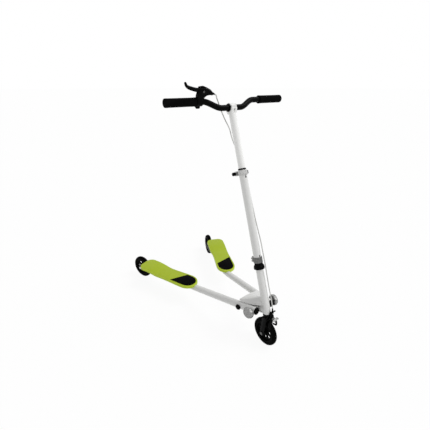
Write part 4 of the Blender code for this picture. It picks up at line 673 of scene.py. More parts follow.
class ScooterSizes(bpy.types.PropertyGroup):
    """Sizes of the pieces that are modelled here."""

    wheel_radius: FloatProperty(name="Wheel radius", description="Outside of the tyres", unit="LENGTH",
                                default=0.0625)
    front_tyre_width: FloatProperty(name="Front tyre width", description="Across the tread", unit="LENGTH",
                                    default=0.027)
    rear_tyre_width: FloatProperty(name="Rear tyre width", description="Across the tread", unit="LENGTH",
                                   default=0.024)
    seat_radius: FloatProperty(name="Tyre seat", description="Outside of the wheel cores", unit="LENGTH",
                               default=0.0455)
    front_windows: IntProperty(name="Front windows", description="Holes in the front core", default=8, min=3)
    rear_windows: IntProperty(name="Rear windows", description="Holes in each rear core", default=6, min=3)
    grip_ribs: IntProperty(name="Grip ribs", description="Raised bands on each grip", default=14, min=1)
    tube_sides: IntProperty(name="Tube sides", description="Flats round each tube", default=48, min=12)
    key_light: FloatProperty(name="Key light", description="Strength of the soft main light", default=1.6)


class PartsOperator:
    """What the operators share."""

    bl_options = {"REGISTER"}

    @staticmethod
    def sizes():
        return bpy.context.scene.scooter_sizes


class SCOOTER_OT_stage(PartsOperator, bpy.types.Operator):
    """Camera at the photograph's viewpoint, pale floor and soft studio light"""

    bl_idname = "scooter.stage"
    bl_label = "Stage"

    def execute(self, context):
        scene = context.scene
        scene.view_settings.view_transform = "Standard"
        camera = bpy.data.cameras.new("camera")
        camera.sensor_width = 36.0
        camera.lens = camera.sensor_width * FOCAL_PIXELS / PHOTO_SIDE
        camera.clip_start = 0.05
        holder = bpy.data.objects.new("camera", camera)
        holder.location = CAMERA_PLACE
        holder.rotation_euler = (math.radians(CAMERA_TILT), 0.0, math.radians(CAMERA_HEADING))
        scene.collection.objects.link(holder)
        scene.camera = holder

        shape = bmesh.new()
        bmesh.ops.create_circle(shape, cap_ends=True, segments=64, radius=60.0)
        mesh = bpy.data.meshes.new("floor")
        shape.to_mesh(mesh)
        shape.free()
        mesh.materials.append(self.floor_material())
        floor = bpy.data.objects.new("floor", mesh)
        scene.collection.objects.link(floor)
        self.add_world(scene)
        self.add_light(scene, scene.scooter_sizes.key_light)
        return {"FINISHED"}

    @staticmethod
    def floor_material():
        """Pale matt floor, lifted to white for the camera, with part of the shadow kept."""
        sheet = Sheet(bpy.data.materials.new("studio_floor"))
        tone = sheet.blend(sheet.noise(3.0, 4.0), (0.95, 0.95, 0.95), (0.97, 0.97, 0.97))
        sheet.finish(Base_Color=tone, Roughness=0.9, Specular_IOR_Level=0.0)
        white = sheet.node("ShaderNodeEmission", {}, {"Color": (1.0, 1.0, 1.0), "Strength": 1.0})
        lit = Value(sheet, sheet.shader.outputs[0])
        mixed = sheet.node("ShaderNodeMixShader", {}, {0: sheet.seen() * 0.93, 1: lit, 2: white})
        sheet.feed(sheet.tree.nodes["Material Output"].inputs["Surface"], mixed)
        return sheet.owner

    @staticmethod
    def add_world(scene):
        """Plain white surroundings, brighter to the camera than as a light."""
        scene.world = bpy.data.worlds.new("studio")
        sheet = Sheet(scene.world)
        level = sheet.node("ShaderNodeMapRange", {}, {"Value": sheet.seen(), "To Min": 0.50, "To Max": 1.0})
        background = sheet.tree.nodes["Background"]
        sheet.feed(background.inputs["Strength"], level)
        sheet.feed(background.inputs["Color"], (1.0, 1.0, 1.0))

    @staticmethod
    def add_light(scene, strength):
        """One soft sun from the camera's upper right."""
        sun = bpy.data.lights.new("key", "SUN")
        sun.energy = strength
        sun.angle = math.radians(28.0)
        holder = bpy.data.objects.new("key", sun)
        holder.rotation_euler = Vector(SUN_HEADING).to_track_quat("-Z", "Y").to_euler()
        scene.collection.objects.link(holder)


class SCOOTER_OT_wheels(PartsOperator, bpy.types.Operator):
    """Tyres, moulded cores and axles of the three wheels"""

    bl_idname = "scooter.wheels"
    bl_label = "Wheels"

    def execute(self, context):
        sizes = self.sizes()
        self.add_wheel("front_tyre", "front_wheel_core", "front_wheel_spin", sizes.front_tyre_width,
                       sizes.front_windows, 33.0)
        ease_nodes("front_axle", bevel=0.4)
        for side_name, _ in SIDES:
            self.add_wheel("rear_tyre_" + side_name, "rear_wheel_core_" + side_name,
                           "rear_wheel_%s_spin" % side_name, sizes.rear_tyre_width, sizes.rear_windows, 30.0)
            ease_nodes("rear_axle_" + side_name, bevel=0.4)
        return {"FINISHED"}

    def add_wheel(self, tyre_node, core_node, joint, width, windows, first):
        """One wheel: a tyre with two grooves and a core with windows."""
        sizes = self.sizes()
        axis = JOINTS[joint]["axis"]
        place = Matrix.Translation(JOINTS[joint]["pos_m"])
        place = place @ Matrix.Rotation(math.atan2(axis[1], axis[0]), 4, "Z") @ TO_X
        radius, seat, half = sizes.wheel_radius / MM, sizes.seat_radius / MM, width / MM / 2
        flank = [(seat + 0.2, 0.86 * half), (seat + 1.6, 0.90 * half), (seat + 6, 0.985 * half),
                 (radius - 9.5, 0.985 * half), (radius - 6, 0.91 * half), (radius - 3, 0.72 * half),
                 (radius - 1.4, 0.50 * half), (radius - 0.5, 0.30 * half), (radius - 1.4, 0.27 * half),
                 (radius - 1.4, 0.22 * half), (radius - 0.4, 0.19 * half), (radius - 0.2, 0.06 * half)]
        tyre = turned(both_ends(flank), 112)
        add_piece(tyre_node, tyre, place, sharp=50.0)

        upper = [(4.3, half - 1.4), (5.2, half - 1.2), (6.8, half - 1.2), (7.1, half - 1.8), (9.8, half - 1.8),
                 (10.2, half - 1.2), (11, half - 1.2), (11.3, half - 0.6), (14, half - 0.6), (14.6, half - 1.2),
                 (16, 4.4), (17.5, 3.3), (38.5, 3), (40.2, 4), (41.4, 0.74 * half), (42.4, 0.82 * half),
                 (seat, 0.83 * half)]
        core = turned(both_ends(upper), 96)
        cutters = []
        window = [(0, -15), (8.2, -15), (8.2, -3.6), (7, -2.4), (7, 2.4), (8.2, 3.6), (8.2, 15), (0, 15)]
        for index in range(windows):
            place_here = turn(first + 360 * index / windows, "Z") @ at(28, 0, 0)
            cutters.append(moved(turned(window, 32, False), place_here))
        add_piece(core_node, carved(core, *cutters), place, sharp=30.0)


class SCOOTER_OT_handlebar(PartsOperator, bpy.types.Operator):
    """Bar, shim, stem saddle, cap and grips"""

    bl_idname = "scooter.handlebar"
    bl_label = "Handlebar"

    bar_radius = 11.1
    seat_radius = 13.3
    saddle_half = 12.5
    bolts = (-SADDLE_BOLT, SADDLE_BOLT)

    def execute(self, context):
        places = [-272, -130, *(-120 + 5 * step for step in range(16))]
        line = [bar_point(x) for x in places] + [bar_point(-x) for x in places[::-1]]
        bar = drawn(line, self.bar_radius, self.sizes().tube_sides)
        add_piece("handlebar", bar, BAR)
        self.add_saddle()
        for side_name, side in SIDES:
            self.add_grip("grip_" + side_name, side)
        return {"FINISHED"}

    def add_saddle(self):
        """The inner stem tube with its saddle, the cap over the bar, the bolts and the shim."""
        across = self.saddle_half
        line = [(11.9, -396.6), (13.3, -397), (13.7, -396.4), (13.7, -18), (11.9, -18)]
        tube = turned(line, 64)
        line = [(20.5, -0.6), (20.5, -8), (13, -23.5), (-13, -23.5), (-20.5, -8), (-20.5, -0.6)]
        saddle = side_on(raised(line, -across, across, 1.6, 1.2))
        bore = cylinder(self.seat_radius, -20, 20, 64, TO_X)
        pockets = [cylinder(4.5, -30, -6.6, 32, at(0, y, 0)) for y in self.bolts]
        shanks = [cylinder(2.3, -12, 4, 24, at(0, y, 0)) for y in self.bolts]
        tube = carved(welded(tube, saddle), bore, *pockets, *shanks)
        add_piece("upper_stem_tube", tube, BAR, sharp=30.0)

        dome = arc((0, 0), 17.4, 158, 22, 16)
        line = [(-20.5, 0.6), (-20.5, 5.4), *dome, (20.5, 5.4), (20.5, 0.6)]
        cap = side_on(raised(line, -across, across, 1.4))
        bore = cylinder(self.seat_radius, -20, 20, 64, TO_X)
        shanks = [cylinder(2.3, -12, 3.7, 24, at(0, y, 0)) for y in self.bolts]
        add_piece("head_clamp_cap", carved(cap, bore, *shanks), BAR, sharp=30.0)

        for name, y in zip(("front", "rear"), self.bolts):
            bolt = screw(shank=2, head=4, socket=1.8, end=-11.6, floor=-9.2, seat=-6.9, tip=3.4)
            add_piece("head_clamp_bolt_" + name, bolt, BAR @ at(0, y, 0))
        rim = [(11.4, 16.8), (14.3, 16.8), (14.8, 16.3), (14.8, 13.3), (14.4, 12.8), (13, 12.8)]
        add_piece("bar_shim", turned(both_ends(rim), 64), BAR @ TO_X)

    def add_grip(self, node, side):
        """A rubber grip with a flange, a ribbed middle and a thick end."""
        ribs = self.sizes().grip_ribs
        line = [(11.4, 0), (15.6, 0), (16, 0.4), (16, 3.6), (15.5, 5), (15.5, 16), (15, 16.8)]
        pitch = (108 - 18) / ribs
        for index in range(ribs):
            low = 18 + pitch * index
            line += [(14.8, low), (15.3, low + 0.25 * pitch), (15.3, low + 0.75 * pitch)]
        line += [(14.8, 108), (15.5, 109.5), (15.5, 120.5), (14.9, 122.5), (13.6, 123.3), (0, 123.3), (0, 120.3),
                 (11.4, 120.3)]
        grip = turned(line, 56)
        place = BAR @ at(*bar_point(side * 152)) @ turn(90 * side, "Y")
        add_piece(node, grip, place, sharp=40.0)


class SCOOTER_OT_brake(PartsOperator, bpy.types.Operator):
    """Brake lever, cable and caliper"""

    bl_idname = "scooter.brake"
    bl_label = "Brake"

    def execute(self, context):
        self.add_bracket()
        self.add_lever()
        self.add_cable()
        self.add_left_arm()
        self.add_right_arm()
        ease_nodes("caliper_bolt", "caliper_adjuster", bevel=0.3)
        ease_nodes("brake_pad_left", "brake_pad_right", bevel=0.3)
        return {"FINISHED"}

    def add_bracket(self):
        """The clamp on the bar with the two cheeks that hold the lever."""
        body = [(-13.5, 12), (-16, 23.5), (-16, 57.5), (2.8, 60), (20.7, 53.9), (39.7, 45.4), (49, 38), (46, 29.6),
                (34, 31.2), (22.2, 29), (15.5, 22.6), (14, 12), (11.5, 9), (-11.5, 9)]
        bracket = front_on(raised(body, -8, 8, 1.8, 2.4))
        line = [(10, -11.5), (14.8, -11.5), (15.6, -10.7), (15.6, 10.7), (14.8, 11.5), (10, 11.5)]
        collar = turned(line, 64)
        ear = block((16, 16, 11), (0, 0, -19.1), 2.2)
        bore = cylinder(11.4, -20, 20, 64, TO_X)
        slit = block((30, 1.8, 20), (0, 0, -17.6))
        slot = [(-30, 29), (-30, 70), (12.5, 70), (12.5, 40), (4, 36.5)]
        slot = front_on(raised(slot, -5, 5, 0))
        hole = cylinder(2.5, -20, 20, 32, at(*LEVER_PIVOT) @ TO_Y)
        bracket = welded(bracket, moved(collar, TO_X), ear)
        bracket = carved(bracket, bore, slit, slot, hole)
        add_piece("brake_bracket", bracket, LEVER, sharp=30.0)
        pin = screw(shank=2.2, head=4, socket=1.9, end=-11.2, floor=-10, seat=-8.3, tip=7.8)
        add_piece("brake_lever_pin", pin, LEVER @ at(*LEVER_PIVOT) @ TO_Y)
        nut = [(1.3, 0), (3.8, 0), (4.2, 0.4), (4.2, 4.6), (3.8, 5), (3.2, 6), (3.2, 10.6), (2.8, 11), (1.3, 11)]
        add_piece("lever_adjuster", turned(nut, 32), LEVER @ at(48, 0, 33.6) @ turn(110, "Y"))

    def add_lever(self):
        """The curved blade with a rounded section."""
        line = [(0, 0), (-20, 1), (-35, 3.5), (-57, 9.8), (-70, 16.5), (-77, 26.5)]
        widths = [8.5, 7, 6.5, 6, 4.8, 4]
        blade = front_on(raised(band_outline(line, widths), -4.5, 4.5, 2.8))
        hole = cylinder(2.5, -20, 20, 32, TO_Y)
        add_piece("brake_lever", carved(blade, hole), LEVER @ at(*LEVER_PIVOT), sharp=40.0)

    @staticmethod
    def add_cable():
        """The outer casing from the lever round the stem to the caliper."""
        start = Vector((-78.6, -15.658, 1003.785))
        heading = Vector((0.93969, 0.26730, -0.21338))
        rise = turn(CABLE_LEAN, "Y").col[2].xyz
        end = Vector(CABLE_BOSS) + Vector((0, 0, CROWN_HEIGHT)) + rise * 17.1
        route = [start, start + heading * 3, start + heading * 8, (-57.5, 2, 991.5), (-41, 19, 977), (-28, 30, 956),
                 (-9, 40, 920), (3, 38, 885), (3.8, 33.5, 847), (10, 26.5, 800), (16.5, 18.5, 755),
                 (20.3, 10.5, 725), (20.8, 8.5, 700), (20.2, 4, 678), (19.2, 2, 655), (19.2, -0.2, 589),
                 (17.5, -8.5, 500), (15.5, -19.5, 420), (12.5, -24.5, 375), (11.5, -26.5, 345), (12.5, -26.2, 315),
                 (13, -24.5, 280), (13.6, -23.5, 230), (14.3, -24, 172), end + rise * 10, end]
        path = smooth_curve(route, 8)
        across = ("steering_column", "bar_stem", (STEER @ at(0, 0, 660)).translation,
                  (STEER @ at(0, 0, 980)).translation)
        piece = add_piece("brake_cable", drawn(path, 2.3, 16), STEER, across=across)
        path = [STEER @ (point * MM) for point in path]
        length = sum((after - before).length for before, after in zip(path, path[1:]))

    @staticmethod
    def caliper_leg(side, low):
        """The leg of a caliper arm from its bolt down to its pad."""
        line = [(20.3 * side, -37.5), (21.5 * side, -26), (15 * side, -12), (0, 0)]
        return front_on(raised(band_outline(line, [2.5, 4.5, 7, 7.5]), low, low + 4, 0.7))

    def add_left_arm(self):
        """The upper caliper arm: its leg, its lobe and the boss that takes the cable."""
        leg = self.caliper_leg(1, -23.5)
        lobe = front_on(raised(link_outline((0, 0), 7.5, (1, 22.5), 7.2), -23.4, -19.6, 0.7))
        tilt = at(*CABLE_BOSS) @ turn(CABLE_LEAN, "Y")
        boss = moved(softened(cylinder(4.8, -4.5, 4.5), 0.5), tilt)
        stalk = [(0, 3.8), (1.5, 3.8), (1.5, 10), (2.7, 10), (3, 10.4), (3, 14.1), (2.6, 14.5), (0, 14.5)]
        stalk = moved(turned(stalk, 24, False), at(*CABLE_BOSS) @ TO_X)
        holes = [cylinder(2.5, -20, 20, 32, tilt), cylinder(3.3, -40, 0, 32, TO_Y),
                 cylinder(1.9, 0, 60, 24, at(0, -21.5, -35.5) @ TO_X)]
        arm = carved(welded(leg, lobe, boss, stalk), *holes)
        add_piece("caliper_arm_left", arm, CALIPER, sharp=30.0)

    def add_right_arm(self):
        """The lower caliper arm, and the bright reach across to the anchor bolt."""
        holes = [cylinder(3.3, -40, 0, 32, TO_Y), cylinder(1.9, -60, 0, 24, at(0, -25.9, -35.5) @ TO_X)]
        arm = carved(self.caliper_leg(-1, -27.9), *holes)
        add_piece("caliper_arm_right", arm, CALIPER, sharp=30.0)
        line = [(1, -6), (8, -10.5), (26.2, -9.5)]
        reach = front_on(raised(band_outline(line, [3, 6.8, 4.6]), -27.8, -24, 0.7))
        holes = [cylinder(7.8, -40, 0, 48, TO_Y), cylinder(2.5, -40, 0, 32, at(*ANCHOR) @ TO_Y)]
        add_piece("caliper_arm_right", carved(reach, *holes), CALIPER, "clamp", "reach", 30.0)
        anchor = screw(shank=2.2, head=4, socket=1.4, end=-31.9, floor=-26.5, seat=-28.2, tip=-24.2)
        add_piece("cable_anchor", anchor, CALIPER @ at(*ANCHOR) @ TO_Y)


class SCOOTER_OT_column(PartsOperator, bpy.types.Operator):
    """Neck, headset, fork, stem tube and clamps"""

    bl_idname = "scooter.column"
    bl_label = "Steering column"

    def execute(self, context):
        self.add_neck()
        self.add_headset()
        self.add_fork()
        self.add_stem()
        self.add_height_clamp()
        return {"FINISHED"}

    @staticmethod
    def roof():
        """The bent upper plate of the neck, with soft creases."""
        plan = [(1.5, 53.5), (-18, 54), (-45, 47.5), (-68, 40), (-88, 29), (-103, 16.5)]
        shape = bmesh.new()
        sections = []
        for y, half in plan:
            ridge = 3.5 - 0.207 * min(y, 0)
            crease = min(half - 0.5, 57.2 + 0.506 * y)
            line = [(-half, -7), (-crease, ridge - 3.5), (0, ridge), (crease, ridge - 3.5), (half, -7)]
            sections.append([Vector((x * MM, y * MM, z * MM)) for x, z in line])
        row = [shape.verts.new(spot) for spot in sections[0]]
        edges = [shape.edges.new(pair) for pair in zip(row, row[1:])]
        for before, section in zip(sections, sections[1:]):
            pulled = bmesh.ops.extrude_edge_only(shape, edges=edges)["geom"]
            corners = [part for part in pulled if isinstance(part, bmesh.types.BMVert)]
            for corner in corners:
                corner.co = section[min(range(5), key=lambda index: (before[index] - corner.co).length)]
            edges = [part for part in pulled if isinstance(part, bmesh.types.BMEdge)
                     and set(part.verts) <= set(corners)]
        bmesh.ops.recalc_face_normals(shape, faces=shape.faces)
        creases = [edge for edge in shape.edges
                   if len(edge.link_faces) == 2 and edge.calc_face_angle() > math.radians(6)]
        rounded(shape, creases, 6 * MM, 4)
        if sum(face.normal.z for face in shape.faces) < 0:
            bmesh.ops.reverse_faces(shape, faces=shape.faces)
        bmesh.ops.solidify(shape, geom=shape.faces[:], thickness=3 * MM)
        return sealed(shape)

    def add_neck(self):
        """Head tube with the roof, plate, walls, web and bosses."""
        line = [(10, 105), (16, 105), (16.2, 105.2), (16.2, 302.8), (16, 303), (10, 303)]
        head = moved(turned(line, 96), STEER)
        plates = at(*PLATES_PLACE) @ turn(-PLATES_SLOPE, "X")
        half = [(22, -4), (31, -13), (26, -70), (19, -98), (15.2, -112)]
        lower = raised(half + [(-x, y) for x, y in half[::-1]], -42.5, -38.5, 0.6, 3)
        web = [(-10, -39.5), (-26, -19.2), (-10, 4), (-100, 22.6), (-108, -39.5)]
        web = side_on(raised(web, -2.5, 2.5, 0.4))
        wall = [(-112, -42.5), (-60, -40.5), (-66, 13.6), (-88, 13.1), (-108, -4)]
        walls = [side_on(raised(wall, low, low + 2.5, 0)) for low in (13.4, -15.9)]
        parts = [moved(part, plates) for part in (self.roof(), lower, web, *walls)]
        for side in (-1, 1):
            spot = at(side * PIVOT[0], *PIVOT[1:])
            parts += [cylinder(9.8, 88.9, 95, place=spot), cylinder(9.8, 121, 138.9, place=spot)]
        bores = [cylinder(14.7, 60, 320, 96, STEER)]
        bores += [cylinder(AXLE_HOLE, 70, 126.2, 32, at(side * PIVOT[0], *PIVOT[1:])) for side in (-1, 1)]
        neck = carved(welded(head, *parts, crossed=True), *bores, crossed=True)
        add_piece("neck_frame", neck, sharp=30.0)

    @staticmethod
    def add_headset():
        """Cups, bearings and the fluted cover."""
        lower = [(13.2, 113.7), (14.4, 113.7), (14.4, 104.7), (18.8, 104.7), (19.2, 104.3), (19.2, 96.6),
                 (18.8, 96.2), (17.4, 96.2), (17.4, 101.7), (13.2, 101.7)]
        upper = [(13.2, 294.3), (14.4, 294.3), (14.4, 303.3), (18.8, 303.3), (19.2, 303.7), (19.2, 310.9),
                 (18.8, 311.3), (17.4, 311.3), (17.4, 306.3), (13.2, 306.3)]
        add_piece("headset_lower_cup", turned(lower, 96), STEER)
        add_piece("headset_upper_cup", turned(upper, 96), STEER)
        ease_nodes("headset_bearing_lower", "headset_bearing_upper", bevel=0)
        line = [(13.2, 311.9), (13.2, 330.7), (16.6, 330.7), (17, 330.2), (18, 321.9), (20.6, 318.9), (22.8, 316),
                (23.2, 315), (23.2, 305.4), (22.8, 304.8), (19.7, 304.8), (19.7, 311.9)]
        cover = fluted(turned(line, 128), 22.5, 0.8, 8)
        add_piece("headset_cover", cover, STEER)

    @staticmethod
    def add_fork():
        """Crown, steerer and two legs."""
        crown = block((45.6, 30, 15), (0, 1, CROWN_HEIGHT), 3)
        legs = []
        for low in (18.4, -22.7):
            outline = link_outline((2, 82), 12.2, WHEEL_PLACE[1:], 11.5)
            legs.append(side_on(raised(outline, low, low + 4.3, 1.2)))
        steerer = cylinder(12.7, 84, 374, 64)
        bores = [cylinder(10.5, 50, 379, 48), cylinder(AXLE_HOLE, -40, 40, place=at(*WHEEL_PLACE) @ TO_X),
                 cylinder(3.3, -30, 30, place=at(0, 0, CROWN_HEIGHT) @ TO_Y)]
        add_piece("fork", carved(welded(crown, steerer, *legs), *bores), STEER, sharp=30.0)

    @staticmethod
    def clamp(outer, ear_half, ear_end, low, high):
        """A ring that is split at +Y between two ears."""
        inner, rim = CLAMP_BORE, 0.6
        ring = turned([(inner, low), (outer - rim, low), (outer, low + rim), (outer, high - rim),
                       (outer - rim, high), (inner, high)], 96)
        ears = block((2 * ear_half, ear_end - inner - 0.2, high - low),
                     (0, (ear_end + inner + 0.2) / 2, (low + high) / 2), 0.8)
        slit = block((2.2, ear_end, high - low + 10), (0, inner - 4 + ear_end / 2, (low + high) / 2))
        return carved(welded(ring, ears), slit)

    def add_stem(self):
        """The outer stem tube with its slits, its double clamp and the bush at its top."""
        line = [(13, 331), (15.8, 331), (16, 331.2), (16, 715.8), (15.8, 716), (14.8, 716), (14.8, 379), (13, 376)]
        tube = turned(line, 96)
        slits = []
        for end, hole in ((330, 361), (717, 686)):
            slits.append(block((3.5, 14, abs(end - hole)), (0, -16, (end + hole) / 2)))
            slits.append(cylinder(3.4, -7, 7, 32, at(0, -16, hole) @ TO_Y))
        add_piece("lower_stem_tube", carved(tube, *slits), STEER, sharp=30.0)

        clamp = self.clamp(19, 8, 27.5, 331.3, 355.3)
        holes = [cylinder(3, -20, 20, 32, at(0, STEM_BOLT_PLACE, z) @ TO_X) for _, z in STEM_BOLTS]
        add_piece("stem_clamp", carved(clamp, *holes), STEER, sharp=30.0)
        for name, z in STEM_BOLTS:
            bolt = screw(shank=2.7, head=4.6, socket=2.4, end=-13.3, floor=-10, seat=-8.3, tip=7.6, steps=40)
            add_piece("stem_clamp_bolt_" + name, bolt, STEER @ at(0, STEM_BOLT_PLACE, z) @ TO_X)
        bush = [(14, 676), (14.5, 676), (14.5, 716.3), (16.4, 716.3), (16.6, 716.6), (16, 720.8), (15.6, 721.3),
                (14, 721.8)]
        add_piece("stem_bush", turned(bush, 96), STEER)

    def add_height_clamp(self):
        """The quick-release clamp with its rod, nut and cam lever."""
        clamp = self.clamp(19.5, 10.5, 36.8, 694.5, 713.5)
        hole = cylinder(3.3, -20, 20, 32, at(*ROD_PLACE) @ TO_X)
        add_piece("height_clamp", carved(clamp, hole), STEER, sharp=30.0)
        spot = STEER @ at(*ROD_PLACE)
        neck = [(0, -15), (4.8, -15), (4.8, -10.8), (3, -10.8), (3, 15.7), (0, 15.7)]
        eye = cylinder(4.5, -3, 3, place=at(*CAM_PLACE))
        pin = cylinder(2.3, -10, 10, 32, at(*CAM_PLACE))
        rod = carved(welded(moved(turned(neck, 40, False), TO_X), eye), pin)
        add_piece("height_clamp_rod", rod, spot, sharp=30.0)
        nut = [(0, -27.5), (5.4, -27.5), (6, -27.2), (7.2, -25.5), (7.2, -15.1), (6.6, -14.5), (0, -14.5)]
        nut = moved(turned(nut, 40, False), TO_X)
        add_piece("height_clamp_rod", nut, spot, "black_plastic", "nut", 30.0)
        line = [(0, 0), (9.8, -14), (9.8, -27)]
        lever = raised(band_outline(line, [7.9, 3.6, 3]), -7.2, 7.2, 1.4)
        slot = block((20, 18.5, 6.6), (0, 0, 0))
        pin = cylinder(2, -6, 6, 24)
        lever = welded(carved(lever, slot), pin)
        add_piece("height_lever", lever, spot @ at(*CAM_PLACE), sharp=30.0)


class SCOOTER_OT_arms(PartsOperator, bpy.types.Operator):
    """Swinging arms with their knuckles, knobs, bolts and wheel brackets"""

    bl_idname = "scooter.arms"
    bl_label = "Arms"

    def execute(self, context):
        for side_name, side in SIDES:
            self.add_tube(side_name, side)
            self.add_bracket(side_name, side)
            self.add_fasteners(side_name, side)
            ease_nodes("arm_knuckle_" + side_name, bevel=0.5)
            ease_nodes("arm_pivot_bolt_" + side_name, bevel=0.3)
        return {"FINISHED"}

    @staticmethod
    def fastener_spots(side):
        """Frames of the knob and of the capped bolt, with Z outwards."""
        arm = arm_frame(side)
        outwards = turn(90 * side, "Y")
        return arm @ at(0, -22.5, 110.8) @ outwards, arm @ at(0, 43, 95.8) @ outwards

    def add_tube(self, side_name, side):
        """The arm tube: a sloping run, a bend and a level run."""
        path = [(33, -41.6, 115.17), ARM_MIDDLE, *smooth_curve(ARM_BEND, 5), (60, 541.6, TUBE_LEVEL), ARM_END]
        path = [Vector((side * x, y, z)) for x, y, z in path]
        sides = self.sizes().tube_sides
        longer = [path[0] * 2 - path[1], *path[1:-1], path[-1] * 2 - path[-2]]
        tube, hollow = drawn(path, ARM_RADIUS, sides), drawn(longer, ARM_RADIUS - ARM_WALL, sides)
        tube = moved(carved(tube, hollow), arm_frame(side))
        holes = [cylinder(AXLE_HOLE, -80, 80, 32, spot) for spot in self.fastener_spots(side)]
        add_piece("arm_tube_" + side_name, carved(tube, *holes), sharp=40.0)
        plug = [(0, -8), (13, -8), (13.2, 0.3), (16, 0.3), (15.8, 1.8), (15.2, 3), (13, 4.1), (0, 4.6)]
        plug = moved(turned(plug, 48, False), arm_frame(side) @ at(*path[0]) @ turn(90 - ARM_SLOPE, "X"))
        add_piece("arm_plug_" + side_name, plug)

    @staticmethod
    def add_bracket(side_name, side):
        """Two black plates from the end of the tube to the axle, with a cross plate between them."""
        plates = [block((33.5, 4, 28.5), (0, 236, 15.37), 0.6)]
        outline = link_outline((189.5, 15.37), 12.4, (REAR_AXLE, 0), 12.4)
        for low in (16.6, -19.9):
            plate = side_on(raised(outline, low, low + 3.3, 0.6))
            hole = cylinder(AXLE_HOLE, -40, 40, 32, at(0, REAR_AXLE, 0) @ TO_X)
            plates.append(carved(plate, hole))
        bracket = welded(*plates)
        bracket = carved(bracket, cylinder(15.9, 100, 233.5, 48, at(0, 0, TUBE_LEVEL) @ TO_Y))
        add_piece("arm_tube_" + side_name, bracket, spine_frame(side), "black_coat", "bracket", 30.0)

    def add_fasteners(self, side_name, side):
        """The hand knob on its stud and the capped bolt with its nut."""
        knob_spot, bolt_spot = self.fastener_spots(side)
        line = [(0, 13.2), (3.7, 13.2), (4, 13.5), (4, 49.5), (8.4, 49.5), (8.8, 49.9), (8.8, 62), (9.8, 62.8),
                (18.5, 63.5), (22.6, 56.6), (24, 54.3), (24.5, 55.2), (24.5, 65), (23.8, 66.4), (21, 70),
                (19.8, 70.6), (12, 70.9), (10.5, 70.4), (0, 70.4)]
        knob = fluted(turned(line, 120, False), 23.6, 0.9, 10)
        add_piece("arm_knob_" + side_name, knob, knob_spot, sharp=40.0)
        line = [(0, 6.5), (4, 6.5), (4, 49.5), (11.4, 49.5), (11.8, 49.7), (12.4, 51.8), (12, 53.5), (10.5, 56),
                (8.4, 57.4), (6, 58), (0, 58.4)]
        cap = turned(line, 64, False)
        nut = bmesh.new()
        bmesh.ops.create_cone(nut, cap_ends=True, segments=6, radius1=6.9 * MM, radius2=6.9 * MM, depth=5 * MM,
                              matrix=at(0, 0, 9.9))
        add_piece("arm_bolt_" + side_name, welded(cap, nut), bolt_spot, sharp=40.0)


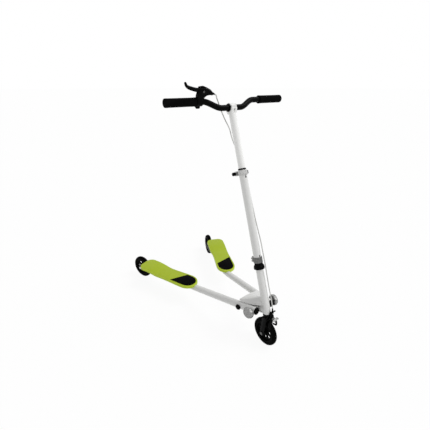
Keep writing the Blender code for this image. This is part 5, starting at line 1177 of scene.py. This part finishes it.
class SCOOTER_OT_decks(PartsOperator, bpy.types.Operator):
    """Moulded foot decks and their dark nose pads"""

    bl_idname = "scooter.decks"
    bl_label = "Decks"

    def execute(self, context):
        for side_name, side in SIDES:
            self.add_deck(side_name, side)
        return {"FINISHED"}

    @staticmethod
    def halves(y):
        """Half-widths on the inner and on the outer side."""
        if y < 0:
            return tuple(eased(NOSE_HALF, waist, 1 - y / NOSE_START) for waist in WAIST)
        return tuple(eased(waist, heel, y / 62) for waist, heel in zip(WAIST, HEEL))

    def outline(self, side):
        """The deck from above: a round nose, a waist and a wide heel with round corners."""
        stations = []
        for degrees in range(6, 90, 7):
            angle = math.radians(degrees)
            half = NOSE_HALF * math.sin(angle) ** 0.95
            stations.append((NOSE_START - NOSE_DEPTH * math.cos(angle), half, half))
        stations += [(y, *self.halves(y)) for y in range(NOSE_START, 139, 14)]
        for degrees in range(0, 90, 8):
            angle = math.radians(degrees)
            draw = 33 * (1 - math.cos(angle))
            y = 139 + 33 * math.sin(angle)
            stations.append((y, *(half - draw for half in self.halves(y))))
        inner = [(-side * (half - 0.1), y) for y, half, _ in stations]
        outer = [(side * (half - 0.1), y) for y, _, half in stations]
        return inner + outer[::-1]

    @staticmethod
    def lifted(shape):
        """Cut a flat deck across its heel and lift it there."""
        for step in range(15):
            cut = (0, (28 + 6 * step) * MM, 0)
            bmesh.ops.bisect_plane(shape, geom=shape.verts[:] + shape.edges[:] + shape.faces[:], plane_co=cut,
                                   plane_no=(0, 1, 0), dist=0.00001)
        for corner in shape.verts:
            corner.co.z += heel_rise(corner.co.y / MM) * MM
        return shape

    def pad_outline(self, side, inset):
        """The pad at the nose: a round front and a slanting rear edge."""
        half, nose = NOSE_HALF - inset, NOSE_DEPTH - inset
        points = []
        for step in range(33):
            angle = math.pi * step / 32
            points.append((-half * math.cos(angle), NOSE_START - nose * math.sin(angle) ** 0.9))
        rear = {-side: -100, side: -48}
        draw = inset - 8
        return points + [(half, rear[1] - draw), (-half, rear[-1] - draw)]

    def add_deck(self, side_name, side):
        """A moulded deck, hollow below, with ribs, saddles and a pad."""
        frame_here, spine = deck_frame(side), spine_frame(side)
        body = raised(self.outline(side), DECK_BOTTOM, DECK_TOP, 0)
        rim = [edge for edge in body.edges
               if all(abs(corner.co.z - DECK_TOP * MM) < 0.00001 for corner in edge.verts)]
        rounded(body, rim, 2.2 * MM, 4)
        floor = [face for face in body.faces if face.normal.z < -0.9]
        bmesh.ops.inset_region(body, faces=floor, thickness=3 * MM, use_even_offset=True, use_boundary=True)
        pushed = bmesh.ops.extrude_discrete_faces(body, faces=floor)["faces"]
        corners = {corner for face in pushed for corner in face.verts}
        bmesh.ops.translate(body, vec=(0, 0, 9.5 * MM), verts=list(corners))
        body = self.lifted(sealed(body))
        ribs = []
        for y in (-110, -40, 30, 100):
            inner, outer = self.halves(y)
            rise = heel_rise(y)
            ribs.append(block((inner + outer - 4, 4, 10.3),
                              (side * (outer - inner) / 2, y, DECK_BOTTOM + rise + 5.2)))
        body = moved(welded(body, *ribs), frame_here)
        saddles = []
        for y in (20, 165):
            high = DECK_TOP + heel_rise(y, 120.53) - 2
            saddles.append(moved(block((35.2, 16, high - 22.8), (0, y, (high + 22.8) / 2), 0.8), spine))
        wheel = cylinder(65.5, -21.5, 21.5, 96, spine @ at(0, REAR_AXLE, 0) @ TO_X)
        path = [Vector((side * x, y, z)) for x, y, z in (ARM_MIDDLE, *ARM_BEND, ARM_END, (85, 681, TUBE_LEVEL))]
        room = moved(drawn(path, 16.4, 48), arm_frame(side))
        recess = moved(raised(self.pad_outline(side, 8), DECK_TOP - PAD_DEPTH, DECK_TOP + 10, 0), frame_here)
        deck = carved(welded(body, *saddles), wheel, room, recess)
        piece = add_piece("deck_" + side_name, deck, sharp=30.0)
        piece.data.materials.append(finish("deck_rim"))
        # Faces that do not face up take the lighter plastic: painted light on the deck's sides and rim.
        for face in piece.data.polygons:
            face.material_index = int(face.normal.z < 0.93)
        low = DECK_TOP - PAD_DEPTH + 0.3
        pad = raised(self.pad_outline(side, 8.5), low, low + 1.3, 0.3)
        add_piece("deck_inlay_" + side_name, pad, frame_here, sharp=30.0)


class SCOOTER_PT_parts(bpy.types.Panel):
    """Lists the scooter's pieces and finishes"""

    bl_idname = "SCOOTER_PT_parts"
    bl_label = "Scooter"
    bl_space_type = "VIEW_3D"
    bl_region_type = "UI"
    bl_category = "Scooter"

    def draw(self, context):
        layout = self.layout
        for operator in OPERATORS:
            layout.operator(operator.bl_idname)
        for group in (context.scene.scooter_colours, context.scene.scooter_sizes):
            for name in group.__annotations__:
                layout.prop(group, name)


OPERATORS = (SCOOTER_OT_stage, SCOOTER_OT_wheels, SCOOTER_OT_handlebar, SCOOTER_OT_brake, SCOOTER_OT_column,
             SCOOTER_OT_arms, SCOOTER_OT_decks)
CLASSES = (ScooterColours, ScooterSizes, *OPERATORS, SCOOTER_PT_parts)


def register():
    """Register the classes and hang their settings on the scene."""
    for part in CLASSES:
        bpy.utils.register_class(part)
    bpy.types.Scene.scooter_colours = PointerProperty(type=ScooterColours)
    bpy.types.Scene.scooter_sizes = PointerProperty(type=ScooterSizes)


def unregister():
    """Take the settings and classes away again."""
    del bpy.types.Scene.scooter_sizes
    del bpy.types.Scene.scooter_colours
    for part in reversed(CLASSES):
        bpy.utils.unregister_class(part)


def main():
    """Build every piece."""
    register()
    bpy.ops.scooter.stage()
    bpy.ops.scooter.wheels()
    bpy.ops.scooter.handlebar()
    bpy.ops.scooter.brake()
    bpy.ops.scooter.column()
    bpy.ops.scooter.arms()
    bpy.ops.scooter.decks()


if __name__ == "__main__":
    main()
